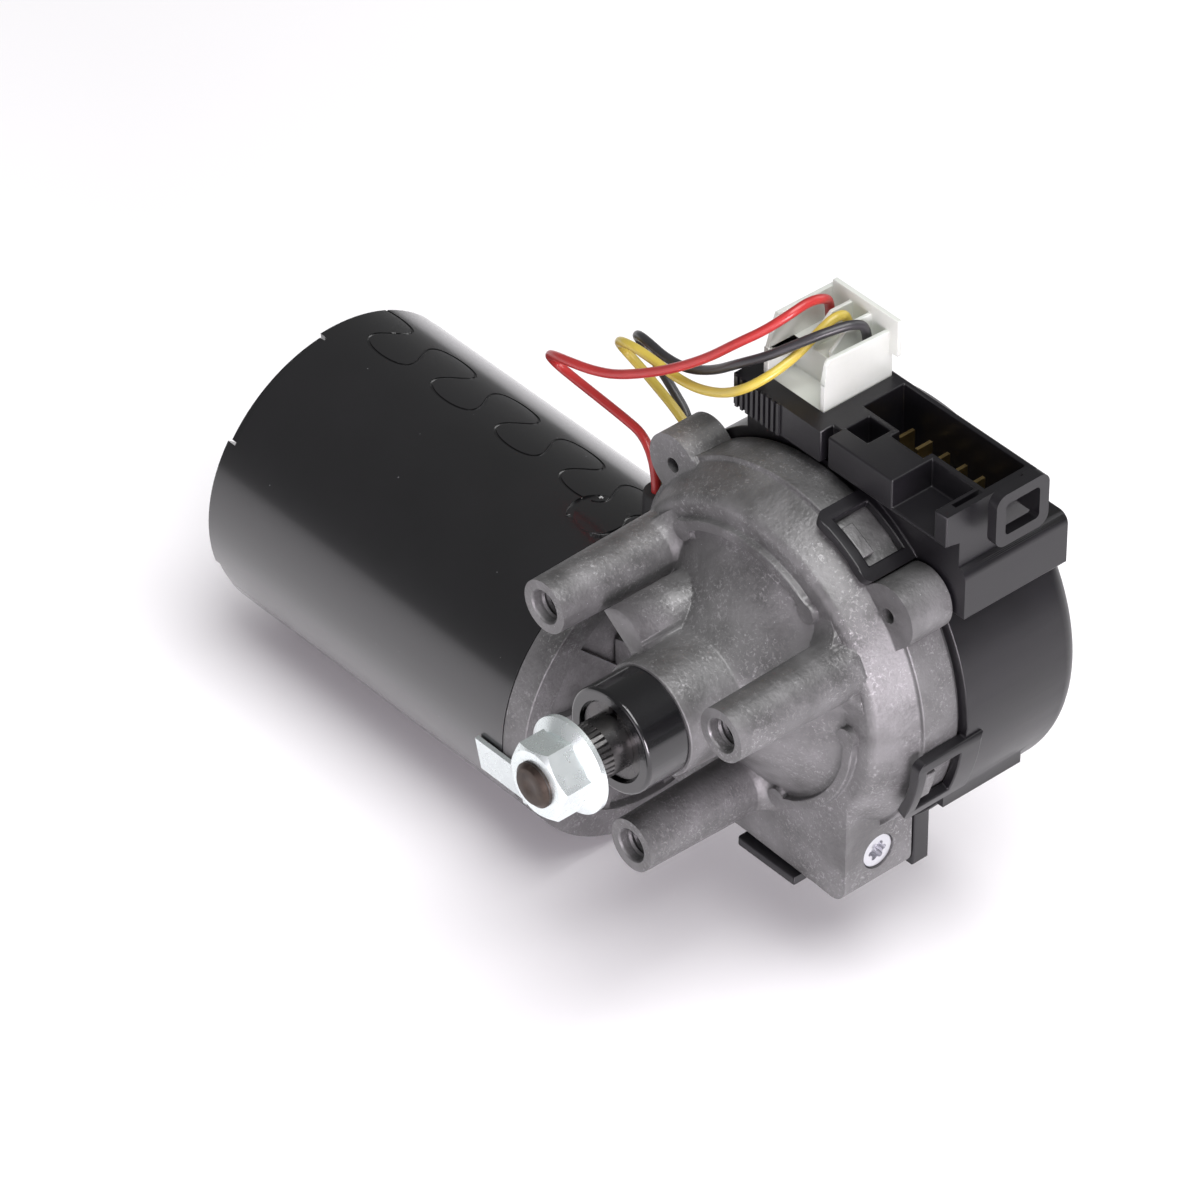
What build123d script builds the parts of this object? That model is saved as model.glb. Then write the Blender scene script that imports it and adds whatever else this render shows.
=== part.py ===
"""Windscreen wiper motor with worm gearbox, in millimetres.

The origin is the centre of the three mounting bosses, on their end faces and on the
output shaft's axis. The output shaft points to -Y, the motor lies along X with its can
towards -X, and the connectors are on top, +Z.
"""

import os
from math import atan2, cos, degrees, hypot, pi, radians, sin, sqrt, tan

from build123d import *

os.makedirs("parts", exist_ok=True)

# Mounting bosses: M8 threads on a 60 mm circle
boss_pcd = 60.0
boss_count = 3
boss_first_angle = 30.0
boss_tip_r = 5.9
boss_draft = 1.2
boss_length = 31.0
thread_bore_r = 3.4
thread_mouth_r = 3.9
boss_flare_r = 4.0
thread_depth = 24.0

# Worm drive: one-start worm, helical wheel, both on one module
module = 1.25
wheel_teeth = 48
worm_pitch_r = 5.5
flank_angle = 20.0
tooth_backlash = 0.42
tip_relief = 0.12
root_clearance = 0.3
worm_turns = 7
wheel_width = 9.0

# Motor line and gearbox planes, measured from the boss faces
motor_axis_y = 40.0
shoulder_y = 40.0
parting_y = 49.0
case_wall = 3.0
wheel_room = 1.75
shoulder_step = 4.0
band_r = 41.0
rib_circle_r = 30.5
rib_width = 2.4
rib_height = 1.6
rib_pad_r = 2.3

# Worm tube and its end corner
worm_end_x = 29.0
worm_block_wall = 2.2
worm_block_left_x = -40.0
worm_tube_r = 7.1

# Motor can
can_r = 35.0
can_wall = 2.2
can_near_x = -45.0
can_length = 94.0
core_setback = 13.0
commutator_setback = 22.0
winding_length = 5.0
winding_room = 6.0
magnet_t = 6.6
magnet_overhang = 2.0
air_gap = 0.9
flange_t = 4.0
flange_rim_t = 2.6
flange_rim_w = 6.4
flange_rib_t = 2.2

# Output shaft and its tower
shaft_r = 6.0
bush_wall = 2.4
bush_length = 11.0
tower_front_y = 4.7
tower_front_r = 12.4
tower_draft = 2.0
skirt_front_y = 18.0
skirt_back_r = 28.5
skirt_hollow = 1.6
nose_length = 8.0
nose_r = 9.8
cap_r = 11.7
cap_face_y = -5.7
thread_r = 4.9
shaft_tip_y = -26.2
nut_height = 9.5
nut_flange_r = 10.6
nut_flange_t = 1.8
nut_across_flats = 15.0

# Ears for the linkage cover
ear_circle_r = 41.5
ear_angle = 41.0
ear_r = 7.0
ear_front_y = 38.5
ear_bore_r = 1.65

# Rear cover and its connectors
gasket_t = 0.6
cover_r = 43.0
cover_back_y = 81.0
cover_wall = 2.2
cover_left_x = -36.8
cover_lip_t = 4.0
block_left_x = -22.0
block_right_x = 39.0
block_front_y = 46.0
block_back_y = 70.0
block_top_z = 52.0
block_under_z = 44.5
cavity_room = 1.2
plug_left_x = -18.6
plug_right_x = -1.2
plug_front_y = 50.8
plug_back_y = 69.0
plug_seat_z = 42.0
plug_cell_z = 58.0
plug_plate_z = 66.0
plug_plate_t = 1.1
way_pitch = 5.4
blade_count = 5
blade_pitch = 5.0

# Fits
gap = 0.3
slide = 0.05
running = 0.03

# Wires
wire_r = 1.0

# Worked out from the sizes above
wheel_pitch_r = module * wheel_teeth / 2
motor_axis_z = -(wheel_pitch_r + worm_pitch_r)
worm_lead = pi * module
worm_length = worm_turns * worm_lead
lead_angle = degrees(atan2(worm_lead, 2 * pi * worm_pitch_r))
wheel_tip_r = wheel_pitch_r + module - tip_relief
wheel_root_r = wheel_pitch_r - module - root_clearance
worm_tip_r = worm_pitch_r + module - tip_relief
worm_root_r = worm_pitch_r - module - root_clearance
case_front_y = boss_length
case_inner_y = case_front_y + case_wall
case_bore_r = wheel_tip_r + wheel_room
case_front_r = case_bore_r + case_wall
shoulder_r = case_front_r + shoulder_step
cavity_r = case_bore_r + cavity_room
socket_floor_z = cavity_r + cover_wall
boss_root_r = boss_tip_r + boss_length * tan(radians(boss_draft))
can_far_x = can_near_x - can_length
can_bore_r = can_r - can_wall
commutator_x = can_near_x - commutator_setback
core_x = can_far_x + core_setback
core_length = commutator_x - winding_room - winding_length - core_x
core_r = can_bore_r - magnet_t - air_gap
magnet_x = core_x - magnet_overhang
magnet_length = core_length + 2 * magnet_overhang
flange_front_x = can_near_x + flange_t
flange_rim_x = flange_front_x + flange_rim_t
block_bottom_z = motor_axis_z - worm_tube_r - worm_block_wall
bush_r = shaft_r + running + bush_wall
nose_front_y = tower_front_y - nose_length
cover_front_y = parting_y + gasket_t
wheel_front_y = motor_axis_y - wheel_width / 2
wheel_back_y = motor_axis_y + wheel_width / 2
armature_shaft_r = worm_root_r


def axial(y):
    """Plane square to the output shaft; its x and y are the part's X and Z."""
    return Plane.XZ.offset(-y)


def motor_plane(x):
    """Plane square to the motor axis and centred on it; its x and y are Y and Z."""
    return Plane(origin=(x, motor_axis_y, motor_axis_z), x_dir=(0, 1, 0), z_dir=(1, 0, 0))


def ring_sector(inner, outer, start, sweep):
    """A sector of a ring about the origin, as a face in its own plane."""
    ends = [radians(start), radians(start + sweep)]
    sides = [Line((inner * cos(a), inner * sin(a)), (outer * cos(a), outer * sin(a))) for a in ends]
    arcs = [CenterArc((0, 0), radius, start, sweep) for radius in (inner, outer)]
    return make_face(Curve() + sides + arcs)


def finish(piece, name):
    """Label a finished piece and write its file."""
    piece.part.label = name
    export_step(piece.part, f"parts/{name}.step")


def add_box(low, high, mode=Mode.ADD):
    """Add or cut a box between two corners, in the part in hand."""
    size = [b - a for a, b in zip(low, high)]
    with Locations(low):
        Box(*size, align=(Align.MIN, Align.MIN, Align.MIN), mode=mode)


# Latches: centre angle on the band, and half their width
latch_angles = (62.5, -15.0)
latch_half_w = 8.4
latch_t = 2.2
latch_front_y = 36.6
latch_bar = 2.6
latch_window_share = 0.66
latch_corner_r = 2.0
nub_half_w = 3.6
nub_length = 3.0
nub_height = 1.8
latch_inner_r = band_r + gap
latch_outer_r = latch_inner_r + latch_t
latch_half_angle = degrees(latch_half_w / latch_inner_r)
nub_half_angle = degrees(nub_half_w / latch_inner_r)
nub_front_y = latch_front_y + latch_bar + gap

# Lower latch, flat under the worm tube
low_latch_x = 7.5
low_latch_front_y = 29.4
low_nub_front_y = low_latch_front_y + latch_bar + gap

# Gear housing, one aluminium casting
screw_r = 4.0
screw_length = 3.4
flange_hub_r = 8.9
wire_exit_x = -41.2
wire_exit_y = 45.6
wire_exit_top_z = 1.6
wire_exit_size = (12.0, 7.6)
grommet_stem_size = (8.4, 4.4)
grommet_head_size = (10.8, 8.2)
grommet_stem_length = 7.0
grommet_top_z = 12.0
wire_notch_top_z = 19.0
pillar_centre = (-13.3, 10.2)
pillar_r = 6.3
pillar_flat_angle = 234.0
pillar_front_y = 9.0

rib_pad_angles = (129.0, 54.0, 0.0, -70.0)
upper_rib = ring_sector(rib_circle_r - rib_width / 2, rib_circle_r + rib_width / 2, 56, 72)
lower_rib = ring_sector(rib_circle_r - rib_width / 2, rib_circle_r + rib_width / 2, -69, 70)
nub_sectors = [
    ring_sector(band_r - 0.5, band_r + nub_height, angle - nub_half_angle, 2 * nub_half_angle)
    for angle in latch_angles
]

# Flares at the roots of the bosses, kept inside the front edge of the case
with BuildPart() as boss_flare:
    with BuildSketch(Plane.XY):
        with BuildLine():
            flare_end = (boss_root_r + boss_flare_r, case_front_y)
            flare_start = (boss_root_r - 0.2, case_front_y - boss_flare_r)
            arc = RadiusArc(flare_start, flare_end, boss_flare_r * 1.1)
            Polyline(flare_end, (flare_end[0], case_front_y + 0.5), (0, case_front_y + 0.5))
            Polyline((0, case_front_y + 0.5), (0, flare_start[1]), flare_start)
        make_face()
    revolve(axis=Axis.Y)
with BuildPart() as boss_flares:
    for count in range(boss_count):
        turn = radians(boss_first_angle + 360 * count / boss_count)
        add(boss_flare.part.moved(Location((boss_pcd / 2 * cos(turn), 0, boss_pcd / 2 * sin(turn)))))
    with BuildSketch(axial(case_front_y + 1)):
        Circle(case_front_r - case_wall * 0.6)
    extrude(amount=boss_flare_r + 2, mode=Mode.INTERSECT)

with BuildPart() as gear_housing:
    # Round wheel case with its shoulder and rim band
    with BuildSketch(Plane.XY):
        with BuildLine():
            Polyline(
                (0, case_front_y),
                (case_front_r, case_front_y),
                (shoulder_r, shoulder_y),
                (band_r, shoulder_y),
                (band_r, parting_y),
                (0, parting_y),
                close=True,
            )
        make_face()
    revolve(axis=Axis.Y)
    front_rim = edges().filter_by(GeomType.CIRCLE).sort_by(Axis.Y)[0]
    fillet(front_rim, case_wall * 0.9)

    # Block round the worm tube, out to the motor flange
    with BuildSketch(axial(case_front_y)):
        with BuildLine():
            Polyline(
                (worm_block_left_x, block_bottom_z + 0.6),
                (0, block_bottom_z + 0.6),
                (worm_end_x - 10.0, block_bottom_z),
                (worm_end_x, block_bottom_z),
                (worm_end_x, block_bottom_z + 26.0),
                (worm_block_left_x + 22.0, block_bottom_z + 34.0),
                (worm_block_left_x, block_bottom_z + 26.0),
                close=True,
            )
        make_face()
    extrude(amount=-(parting_y - case_front_y))
    corner_edges = edges().filter_by(Axis.Y).group_by(Axis.Z)[0].sort_by(Axis.X)
    fillet(corner_edges[-1], 4.0)

    # Motor flange: disc, raised rim and hub for the front bearing
    with BuildSketch(motor_plane(can_near_x)):
        Circle(can_r)
    extrude(amount=flange_t)
    with BuildSketch(motor_plane(flange_front_x)):
        Circle(can_r)
        Circle(can_r - flange_rim_w, mode=Mode.SUBTRACT)
    extrude(amount=flange_rim_t)
    with BuildSketch(motor_plane(flange_front_x)):
        Circle(flange_hub_r)
    extrude(amount=16.0, taper=0.5)
    with BuildSketch(motor_plane(flange_front_x)):
        rib_middle_r = (can_r - flange_rim_w + flange_hub_r) / 2
        with PolarLocations(rib_middle_r, 6, start_angle=100, angular_range=180, endpoint=True):
            Rectangle(can_r - flange_rim_w - flange_hub_r + 2, flange_rib_t)
    extrude(amount=flange_rim_t - 0.8)
    with BuildSketch(motor_plane(can_near_x)):
        Circle(can_bore_r - 0.1)
        Circle(can_bore_r - 3.0, mode=Mode.SUBTRACT)
    extrude(amount=-5.4)

    # Tower for the output shaft and its nose under the cap
    with BuildSketch(axial(case_front_y + 1)):
        Circle(tower_front_r + (case_front_y + 1 - tower_front_y) * tan(radians(tower_draft)))
    extrude(amount=case_front_y + 1 - tower_front_y, taper=tower_draft)
    with BuildSketch(axial(tower_front_y)):
        Circle(nose_r)
    extrude(amount=nose_length)

    # Cone-like skirt from the tower out to the boss circle
    with BuildSketch(Plane.XY):
        with BuildLine():
            skirt_top = (tower_front_r, skirt_front_y)
            skirt_foot = (skirt_back_r, case_front_y)
            middle = (
                (skirt_top[0] + skirt_foot[0] - skirt_hollow) / 2,
                (skirt_top[1] + skirt_foot[1] + skirt_hollow) / 2,
            )
            ThreePointArc(skirt_top, middle, skirt_foot)
            Polyline(skirt_foot, (skirt_back_r, case_front_y + 0.5), (0, case_front_y + 0.5))
            Polyline((0, case_front_y + 0.5), (0, skirt_front_y), skirt_top)
        make_face()
    revolve(axis=Axis.Y)

    # Half-round pillar beside the tower
    with BuildSketch(axial(case_front_y + 0.5)):
        with BuildLine():
            flat = radians(pillar_flat_angle)
            ends = [
                (
                    pillar_centre[0] + pillar_r * cos(flat + turn),
                    pillar_centre[1] + pillar_r * sin(flat + turn),
                )
                for turn in (-pi / 2, pi / 2)
            ]
            crown = (
                pillar_centre[0] - pillar_r * cos(flat),
                pillar_centre[1] - pillar_r * sin(flat),
            )
            ThreePointArc(ends[0], crown, ends[1])
            Line(ends[1], ends[0])
        make_face()
        with BuildLine():
            Polyline(ends[1], (0, 0), crown, pillar_centre, close=True)
        make_face()
    extrude(amount=case_front_y + 0.5 - pillar_front_y)

    # Three mounting bosses, drafted towards their tips
    with BuildSketch(axial(boss_length)):
        with PolarLocations(boss_pcd / 2, boss_count, start_angle=boss_first_angle):
            Circle(boss_root_r)
    extrude(amount=boss_length, taper=boss_draft)
    with BuildSketch(axial(boss_length)):
        with PolarLocations(boss_pcd / 2, boss_count, start_angle=boss_first_angle):
            Circle(boss_root_r)
    extrude(amount=-1.0)
    add(boss_flares.part)

    # Two cast ribs on the front face, each ending in a rounded pad
    with BuildSketch(axial(case_front_y + 0.1)):
        add(upper_rib)
        add(lower_rib)
        for pad_angle in rib_pad_angles:
            with PolarLocations(rib_circle_r - rib_pad_r / 3, 1, start_angle=pad_angle):
                Circle(rib_pad_r)
    extrude(amount=rib_height + 0.1)

    # Ears for the linkage cover
    with BuildSketch(axial(ear_front_y)):
        with PolarLocations(
            ear_circle_r, 2, start_angle=ear_angle, angular_range=180 - 2 * ear_angle, endpoint=True
        ):
            Circle(ear_r)
            with Locations((-ear_r, 0)):
                Rectangle(2 * ear_r, 2 * ear_r)
    extrude(amount=-(parting_y - ear_front_y))

    # Nubs that the cover's latches snap over
    with BuildSketch(axial(nub_front_y)):
        add(nub_sectors)
    extrude(amount=-nub_length)
    add_box(
        (low_latch_x - nub_half_w, low_nub_front_y, block_bottom_z - nub_height),
        (low_latch_x + nub_half_w, low_nub_front_y + nub_length + 2, block_bottom_z + 2.5),
    )

    # Outlet for the motor's wires
    with BuildSketch(Plane.XY.offset(wire_exit_top_z)):
        with Locations((wire_exit_x, wire_exit_y)):
            SlotOverall(*wire_exit_size, rotation=90)
    extrude(amount=-(wire_exit_top_z + 14.0))

    # Wheel room, worm tube, bearing seats
    with BuildSketch(axial(case_inner_y)):
        Circle(case_bore_r)
    extrude(amount=-(parting_y - case_inner_y), mode=Mode.SUBTRACT)
    with BuildSketch(motor_plane(can_near_x - 6)):
        Circle(worm_tube_r)
    extrude(amount=worm_end_x - screw_length - can_near_x + 6, mode=Mode.SUBTRACT)
    with BuildSketch(motor_plane(worm_end_x)):
        Circle(screw_r + slide)
    extrude(amount=-(screw_length + 1), mode=Mode.SUBTRACT)
    with BuildSketch(axial(nose_front_y)):
        Circle(bush_r)
    extrude(amount=-(case_inner_y - nose_front_y), mode=Mode.SUBTRACT)
    with BuildSketch(Plane.XY.offset(wire_exit_top_z)):
        with Locations((wire_exit_x, wire_exit_y)):
            SlotOverall(*[size + 2 * slide for size in grommet_stem_size], rotation=90)
    extrude(amount=-(grommet_stem_length + gap), mode=Mode.SUBTRACT)
    with BuildSketch(Plane.XY.offset(wire_exit_top_z)):
        with Locations((wire_exit_x, wire_exit_y)):
            SlotOverall(*[size + 2 * gap for size in grommet_head_size], rotation=90)
    extrude(amount=wire_notch_top_z - wire_exit_top_z, mode=Mode.SUBTRACT)

    # Threaded holes
    with Locations(axial(0)):
        with PolarLocations(boss_pcd / 2, boss_count, start_angle=boss_first_angle):
            CounterSinkHole(thread_bore_r, thread_mouth_r, depth=thread_depth, counter_sink_angle=90)
    with Locations(axial(ear_front_y)):
        with PolarLocations(
            ear_circle_r, 2, start_angle=ear_angle, angular_range=180 - 2 * ear_angle, endpoint=True
        ):
            Hole(ear_bore_r, depth=parting_y - ear_front_y)

finish(gear_housing, "gear_housing")

# Motor can: rolled steel tube with cut-back windows in its far rim
window_depth = 2.2
window_angle = 50.0
window_first = 20.5
window_span = 201.0
window_count = 3
slot_angle = 190.0
slot_w = 7.0
slot_length = 5.0
dimple_x = -55.0
dimple_r = 7.0
dimple_depth = 0.5

window = ring_sector(can_bore_r - 1, can_r + 1, -window_angle / 2, window_angle)

with BuildPart() as motor_can:
    with BuildSketch(motor_plane(can_far_x)):
        Circle(can_r)
        Circle(can_bore_r, mode=Mode.SUBTRACT)
    extrude(amount=can_length)
    with BuildSketch(motor_plane(can_far_x)):
        with PolarLocations(0, window_count, window_first, window_span, endpoint=True):
            add(window)
    extrude(amount=window_depth, mode=Mode.SUBTRACT)
    with BuildSketch(motor_plane(can_near_x)):
        with PolarLocations(can_r, 2, start_angle=slot_angle):
            Rectangle(4 * can_wall, slot_w)
    extrude(amount=-slot_length, mode=Mode.SUBTRACT)
    with BuildSketch(Plane.XY.offset(motor_axis_z + can_r - dimple_depth)):
        with Locations((dimple_x, motor_axis_y)):
            Circle(dimple_r)
            Circle(dimple_r - 1.6, mode=Mode.SUBTRACT)
    extrude(amount=2 * dimple_depth, mode=Mode.SUBTRACT)
finish(motor_can, "motor_can")

# End plate: pressed disc with lugs in the can's windows and a cup for the rear bush
plate_t = 1.8
rear_bush_r = 7.5
rear_bush_length = 8.0
cup_wall = 1.4
plate_x = can_far_x + window_depth + 0.2
cup_depth = rear_bush_length + cup_wall

lug = ring_sector(can_bore_r - 2, can_r - 0.4, -window_angle / 2 + 1, window_angle - 2)

with BuildPart() as can_end_plate:
    with BuildSketch(motor_plane(plate_x)):
        Circle(can_bore_r - slide)
    extrude(amount=plate_t)
    with BuildSketch(motor_plane(plate_x - slide - 0.2)):
        with PolarLocations(0, window_count, window_first, window_span, endpoint=True):
            add(lug)
    extrude(amount=-(plate_t - 0.2))
    with BuildSketch(motor_plane(plate_x - slide - 0.2)):
        Circle(can_bore_r - slide)
        Circle(can_bore_r - 5, mode=Mode.SUBTRACT)
    extrude(amount=0.6)
    with BuildSketch(motor_plane(plate_x)):
        Circle(rear_bush_r + cup_wall)
    extrude(amount=cup_depth)
    with BuildSketch(motor_plane(plate_x + cup_wall)):
        Circle(rear_bush_r)
    extrude(amount=rear_bush_length, mode=Mode.SUBTRACT)
finish(can_end_plate, "can_end_plate")

# Field magnets: two ferrite arcs, and the spring clips that spread them
magnet_angle = 132.0
clip_t = 0.6
clip_inset = 6.0

magnet = ring_sector(can_bore_r - magnet_t, can_bore_r, -magnet_angle / 2, magnet_angle)
spring_arc = ring_sector(can_bore_r - clip_t, can_bore_r, -19, 38)
spring_leg = ring_sector(can_bore_r - 4.5, can_bore_r, -19, 1.2)
spring_leg_far = ring_sector(can_bore_r - 4.5, can_bore_r, 17.8, 1.2)

with BuildPart() as field_magnets:
    with BuildSketch(motor_plane(magnet_x)):
        with PolarLocations(0, 2, start_angle=0):
            add(magnet)
    extrude(amount=magnet_length)
finish(field_magnets, "field_magnets")

with BuildPart() as magnet_springs:
    with BuildSketch(motor_plane(magnet_x + clip_inset)):
        with PolarLocations(0, 2, start_angle=90):
            add([spring_arc, spring_leg, spring_leg_far])
    extrude(amount=magnet_length - 2 * clip_inset)
finish(magnet_springs, "magnet_springs")

# Shaft bushes of the motor line
front_bush_r = worm_tube_r
front_bush_length = 8.0
front_bush_x = can_near_x + 1.0
worm_end_bush_length = 6.0
worm_end_bush_x = worm_end_x - screw_length - 2.4 - worm_end_bush_length
rear_bush_x = plate_x + cup_wall

with BuildPart() as rear_bush:
    with BuildSketch(motor_plane(rear_bush_x)):
        Circle(rear_bush_r - 0.01)
        Circle(armature_shaft_r + running, mode=Mode.SUBTRACT)
    extrude(amount=rear_bush_length)
finish(rear_bush, "rear_bush")

with BuildPart() as front_bush:
    with BuildSketch(motor_plane(front_bush_x)):
        Circle(front_bush_r - 0.01)
        Circle(armature_shaft_r + running, mode=Mode.SUBTRACT)
    extrude(amount=front_bush_length)
finish(front_bush, "front_bush")

with BuildPart() as worm_end_bush:
    with BuildSketch(motor_plane(worm_end_bush_x)):
        Circle(worm_tube_r - 0.01)
        Circle(armature_shaft_r + running, mode=Mode.SUBTRACT)
    extrude(amount=worm_end_bush_length)
finish(worm_end_bush, "worm_end_bush")

# Thrust parts at the worm's end: ball in a pad, and the six-lobe adjusting screw
pad_x = worm_end_bush_x + worm_end_bush_length + slide
screw_x = worm_end_x - 0.4
shaft_end_x = pad_x - 1.2
six_lobe_r = 2.3
six_lobe_depth = 1.8

with BuildPart() as thrust_pad:
    with BuildSketch(motor_plane(pad_x)):
        Circle(worm_tube_r - 0.3)
    extrude(amount=screw_x - screw_length - pad_x - slide)
    with BuildSketch(motor_plane(pad_x)):
        Circle(armature_shaft_r - 0.4)
    extrude(amount=-(pad_x - shaft_end_x - slide))
finish(thrust_pad, "thrust_pad")

with BuildPart() as thrust_screw:
    with BuildSketch(motor_plane(screw_x)):
        Circle(screw_r)
    extrude(amount=-screw_length)
    chamfer(edges().filter_by(GeomType.CIRCLE).sort_by(Axis.X)[-1], 0.3)
    with BuildSketch(motor_plane(screw_x)):
        Circle(six_lobe_r * 0.72)
        with PolarLocations(six_lobe_r * 0.74, 6):
            Circle(six_lobe_r * 0.26)
    extrude(amount=-six_lobe_depth, mode=Mode.SUBTRACT)
finish(thrust_screw, "thrust_screw")

# Spring clips that hold the can to the motor flange
can_clip_t = 1.0
can_clip_w = 9.0
can_clip_tail = 7.0

with BuildPart() as can_clips:
    with BuildSketch(motor_plane(can_near_x - can_clip_tail)):
        with PolarLocations(can_r + slide + can_clip_t / 2, 2, start_angle=slot_angle):
            Rectangle(can_clip_t, can_clip_w)
    extrude(amount=can_clip_tail + flange_rim_x - can_near_x + can_clip_t + slide)
    with BuildSketch(motor_plane(flange_rim_x + slide)):
        with PolarLocations(can_r - 0.4, 2, start_angle=slot_angle):
            Rectangle(can_clip_t + 3.0, can_clip_w)
    extrude(amount=can_clip_t)
    with BuildSketch(motor_plane(can_near_x - slot_length + 0.6)):
        with PolarLocations(can_r - 0.2, 2, start_angle=slot_angle):
            Rectangle(can_clip_t + 0.6, slot_w - 1.2)
    extrude(amount=1.2)
finish(can_clips, "can_clips")

# Brush gear: phenolic plate with brass boxes, three brushes, leaf springs, two chokes
brush_plate_x = can_near_x - 5.4
brush_plate_t = 1.8
brush_angles = (0.0, 120.0, 180.0)
brush_w = 5.0
brush_h = 8.0
brush_length = 10.0
brush_box_wall = 0.6
commutator_r = 12.0
commutator_length = 13.0
choke_r = 3.0
choke_length = 13.0
choke_angles = (60.0, 300.0)
choke_ring_r = 25.0
brush_x = brush_plate_x - brush_plate_t - brush_box_wall - brush_h / 2 - 0.1
brush_in_r = commutator_r + running

with BuildPart() as brush_plate:
    with BuildSketch(motor_plane(brush_plate_x)):
        Circle(can_bore_r - 0.2)
        Circle(commutator_r + 3, mode=Mode.SUBTRACT)
    extrude(amount=-brush_plate_t)
finish(brush_plate, "brush_plate")

with BuildPart() as brush_boxes:
    for angle in brush_angles:
        radial = Plane(
            origin=(brush_x, motor_axis_y, motor_axis_z),
            x_dir=(1, 0, 0),
            z_dir=(0, cos(radians(angle)), sin(radians(angle))),
        )
        with BuildSketch(radial.offset(commutator_r + 2)):
            Rectangle(brush_h + 2 * brush_box_wall, brush_w + 2 * brush_box_wall)
            Rectangle(brush_h + 2 * slide, brush_w + 2 * slide, mode=Mode.SUBTRACT)
        extrude(amount=brush_length + 1.2)
finish(brush_boxes, "brush_boxes")

with BuildPart() as carbon_brushes:
    for angle in brush_angles:
        radial = Plane(
            origin=(brush_x, motor_axis_y, motor_axis_z),
            x_dir=(1, 0, 0),
            z_dir=(0, cos(radians(angle)), sin(radians(angle))),
        )
        with BuildSketch(radial.offset(commutator_r - 1.0)):
            Rectangle(brush_h, brush_w)
        extrude(amount=brush_length + 1)
    with BuildSketch(motor_plane(brush_x - brush_h)):
        Circle(brush_in_r)
    extrude(amount=2 * brush_h, mode=Mode.SUBTRACT)
finish(carbon_brushes, "carbon_brushes")

with BuildPart() as brush_springs:
    for angle in brush_angles:
        radial = Plane(
            origin=(brush_x, motor_axis_y, motor_axis_z),
            x_dir=(1, 0, 0),
            z_dir=(0, cos(radians(angle)), sin(radians(angle))),
        )
        with BuildSketch(radial.offset(commutator_r + brush_length + slide)):
            Rectangle(brush_h - 2, brush_w - 1.6)
        extrude(amount=0.4)
        with BuildSketch(radial.offset(commutator_r + brush_length + slide)):
            Rectangle(0.5, brush_w - 1.6)
        extrude(amount=3.5)
        with BuildSketch(radial.offset(commutator_r + brush_length + 3.4)):
            with Locations(((brush_plate_x - brush_plate_t - brush_x - 2.4) / 2, 0)):
                Rectangle(brush_plate_x - brush_plate_t - brush_x + 2.4, brush_w - 1.6)
        extrude(amount=0.4)
finish(brush_springs, "brush_springs")

with BuildPart() as choke_coils:
    for angle in choke_angles:
        with BuildSketch(motor_plane(brush_plate_x - brush_plate_t)):
            with PolarLocations(choke_ring_r, 1, start_angle=angle):
                Circle(choke_r)
        extrude(amount=-choke_length)
finish(choke_coils, "choke_coils")

# Armature: shaft with rolled worm, slotted core, windings, commutator
core_slots = 12
slot_gap = 2.4
slot_bore = 3.4
slot_depth = 6.0
winding_r = core_r - 3.8
winding_in_r = 9.6
shaft_start_x = rear_bush_x + 0.6
worm_x = -worm_length / 2
rack_half = (worm_lead / 2 - tooth_backlash / 2) / 2

with BuildPart() as armature_shaft:
    with BuildSketch(motor_plane(shaft_start_x)):
        Circle(armature_shaft_r)
    extrude(amount=shaft_end_x - shaft_start_x)
    chamfer(edges().filter_by(GeomType.CIRCLE), 0.4)
    with BuildLine():
        thread_path = Helix(
            pitch=worm_lead,
            height=worm_length,
            radius=worm_root_r,
            center=(worm_x, motor_axis_y, motor_axis_z),
            direction=(1, 0, 0),
        )
    start = thread_path @ 0
    outwards = Vector(0, start.Y - motor_axis_y, start.Z - motor_axis_z).normalized()
    with BuildSketch(Plane(origin=start, x_dir=outwards, z_dir=thread_path % 0)) as thread_section:
        with BuildLine():
            slope = tan(radians(flank_angle))
            pitch_height = worm_pitch_r - worm_root_r
            top = worm_tip_r - worm_root_r
            low_half = rack_half + (pitch_height + 0.3) * slope
            top_half = rack_half - (top - pitch_height) * slope
            Polyline(
                (-0.3, -low_half),
                (top, -top_half),
                (top, top_half),
                (-0.3, low_half),
                close=True,
            )
        make_face()
    sweep(path=thread_path, is_frenet=True)
finish(armature_shaft, "armature_shaft")

with BuildPart() as armature_core:
    with BuildSketch(motor_plane(core_x)):
        Circle(core_r)
        with PolarLocations(core_r, core_slots):
            Rectangle(5.0, slot_gap, mode=Mode.SUBTRACT)
        with PolarLocations(core_r - slot_depth, core_slots):
            Circle(slot_bore, mode=Mode.SUBTRACT)
        Circle(armature_shaft_r, mode=Mode.SUBTRACT)
    extrude(amount=core_length)
finish(armature_core, "armature_core")

with BuildPart() as armature_windings:
    for x in (core_x - winding_length, core_x + core_length):
        with BuildSketch(motor_plane(x)):
            Circle(winding_r)
            Circle(winding_in_r, mode=Mode.SUBTRACT)
        extrude(amount=winding_length)
    for edge_x in (core_x - winding_length, core_x + core_length + winding_length):
        rims = edges().filter_by(GeomType.CIRCLE).filter_by(lambda e: abs(e.center().X - edge_x) < 0.01)
        fillet(rims, 1.5)
finish(armature_windings, "armature_windings")

with BuildPart() as commutator:
    with BuildSketch(motor_plane(commutator_x)):
        Circle(commutator_r)
        with PolarLocations(commutator_r, core_slots, start_angle=15):
            Rectangle(1.6, 0.6, mode=Mode.SUBTRACT)
        Circle(armature_shaft_r, mode=Mode.SUBTRACT)
    extrude(amount=commutator_length)
finish(commutator, "commutator")

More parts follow.
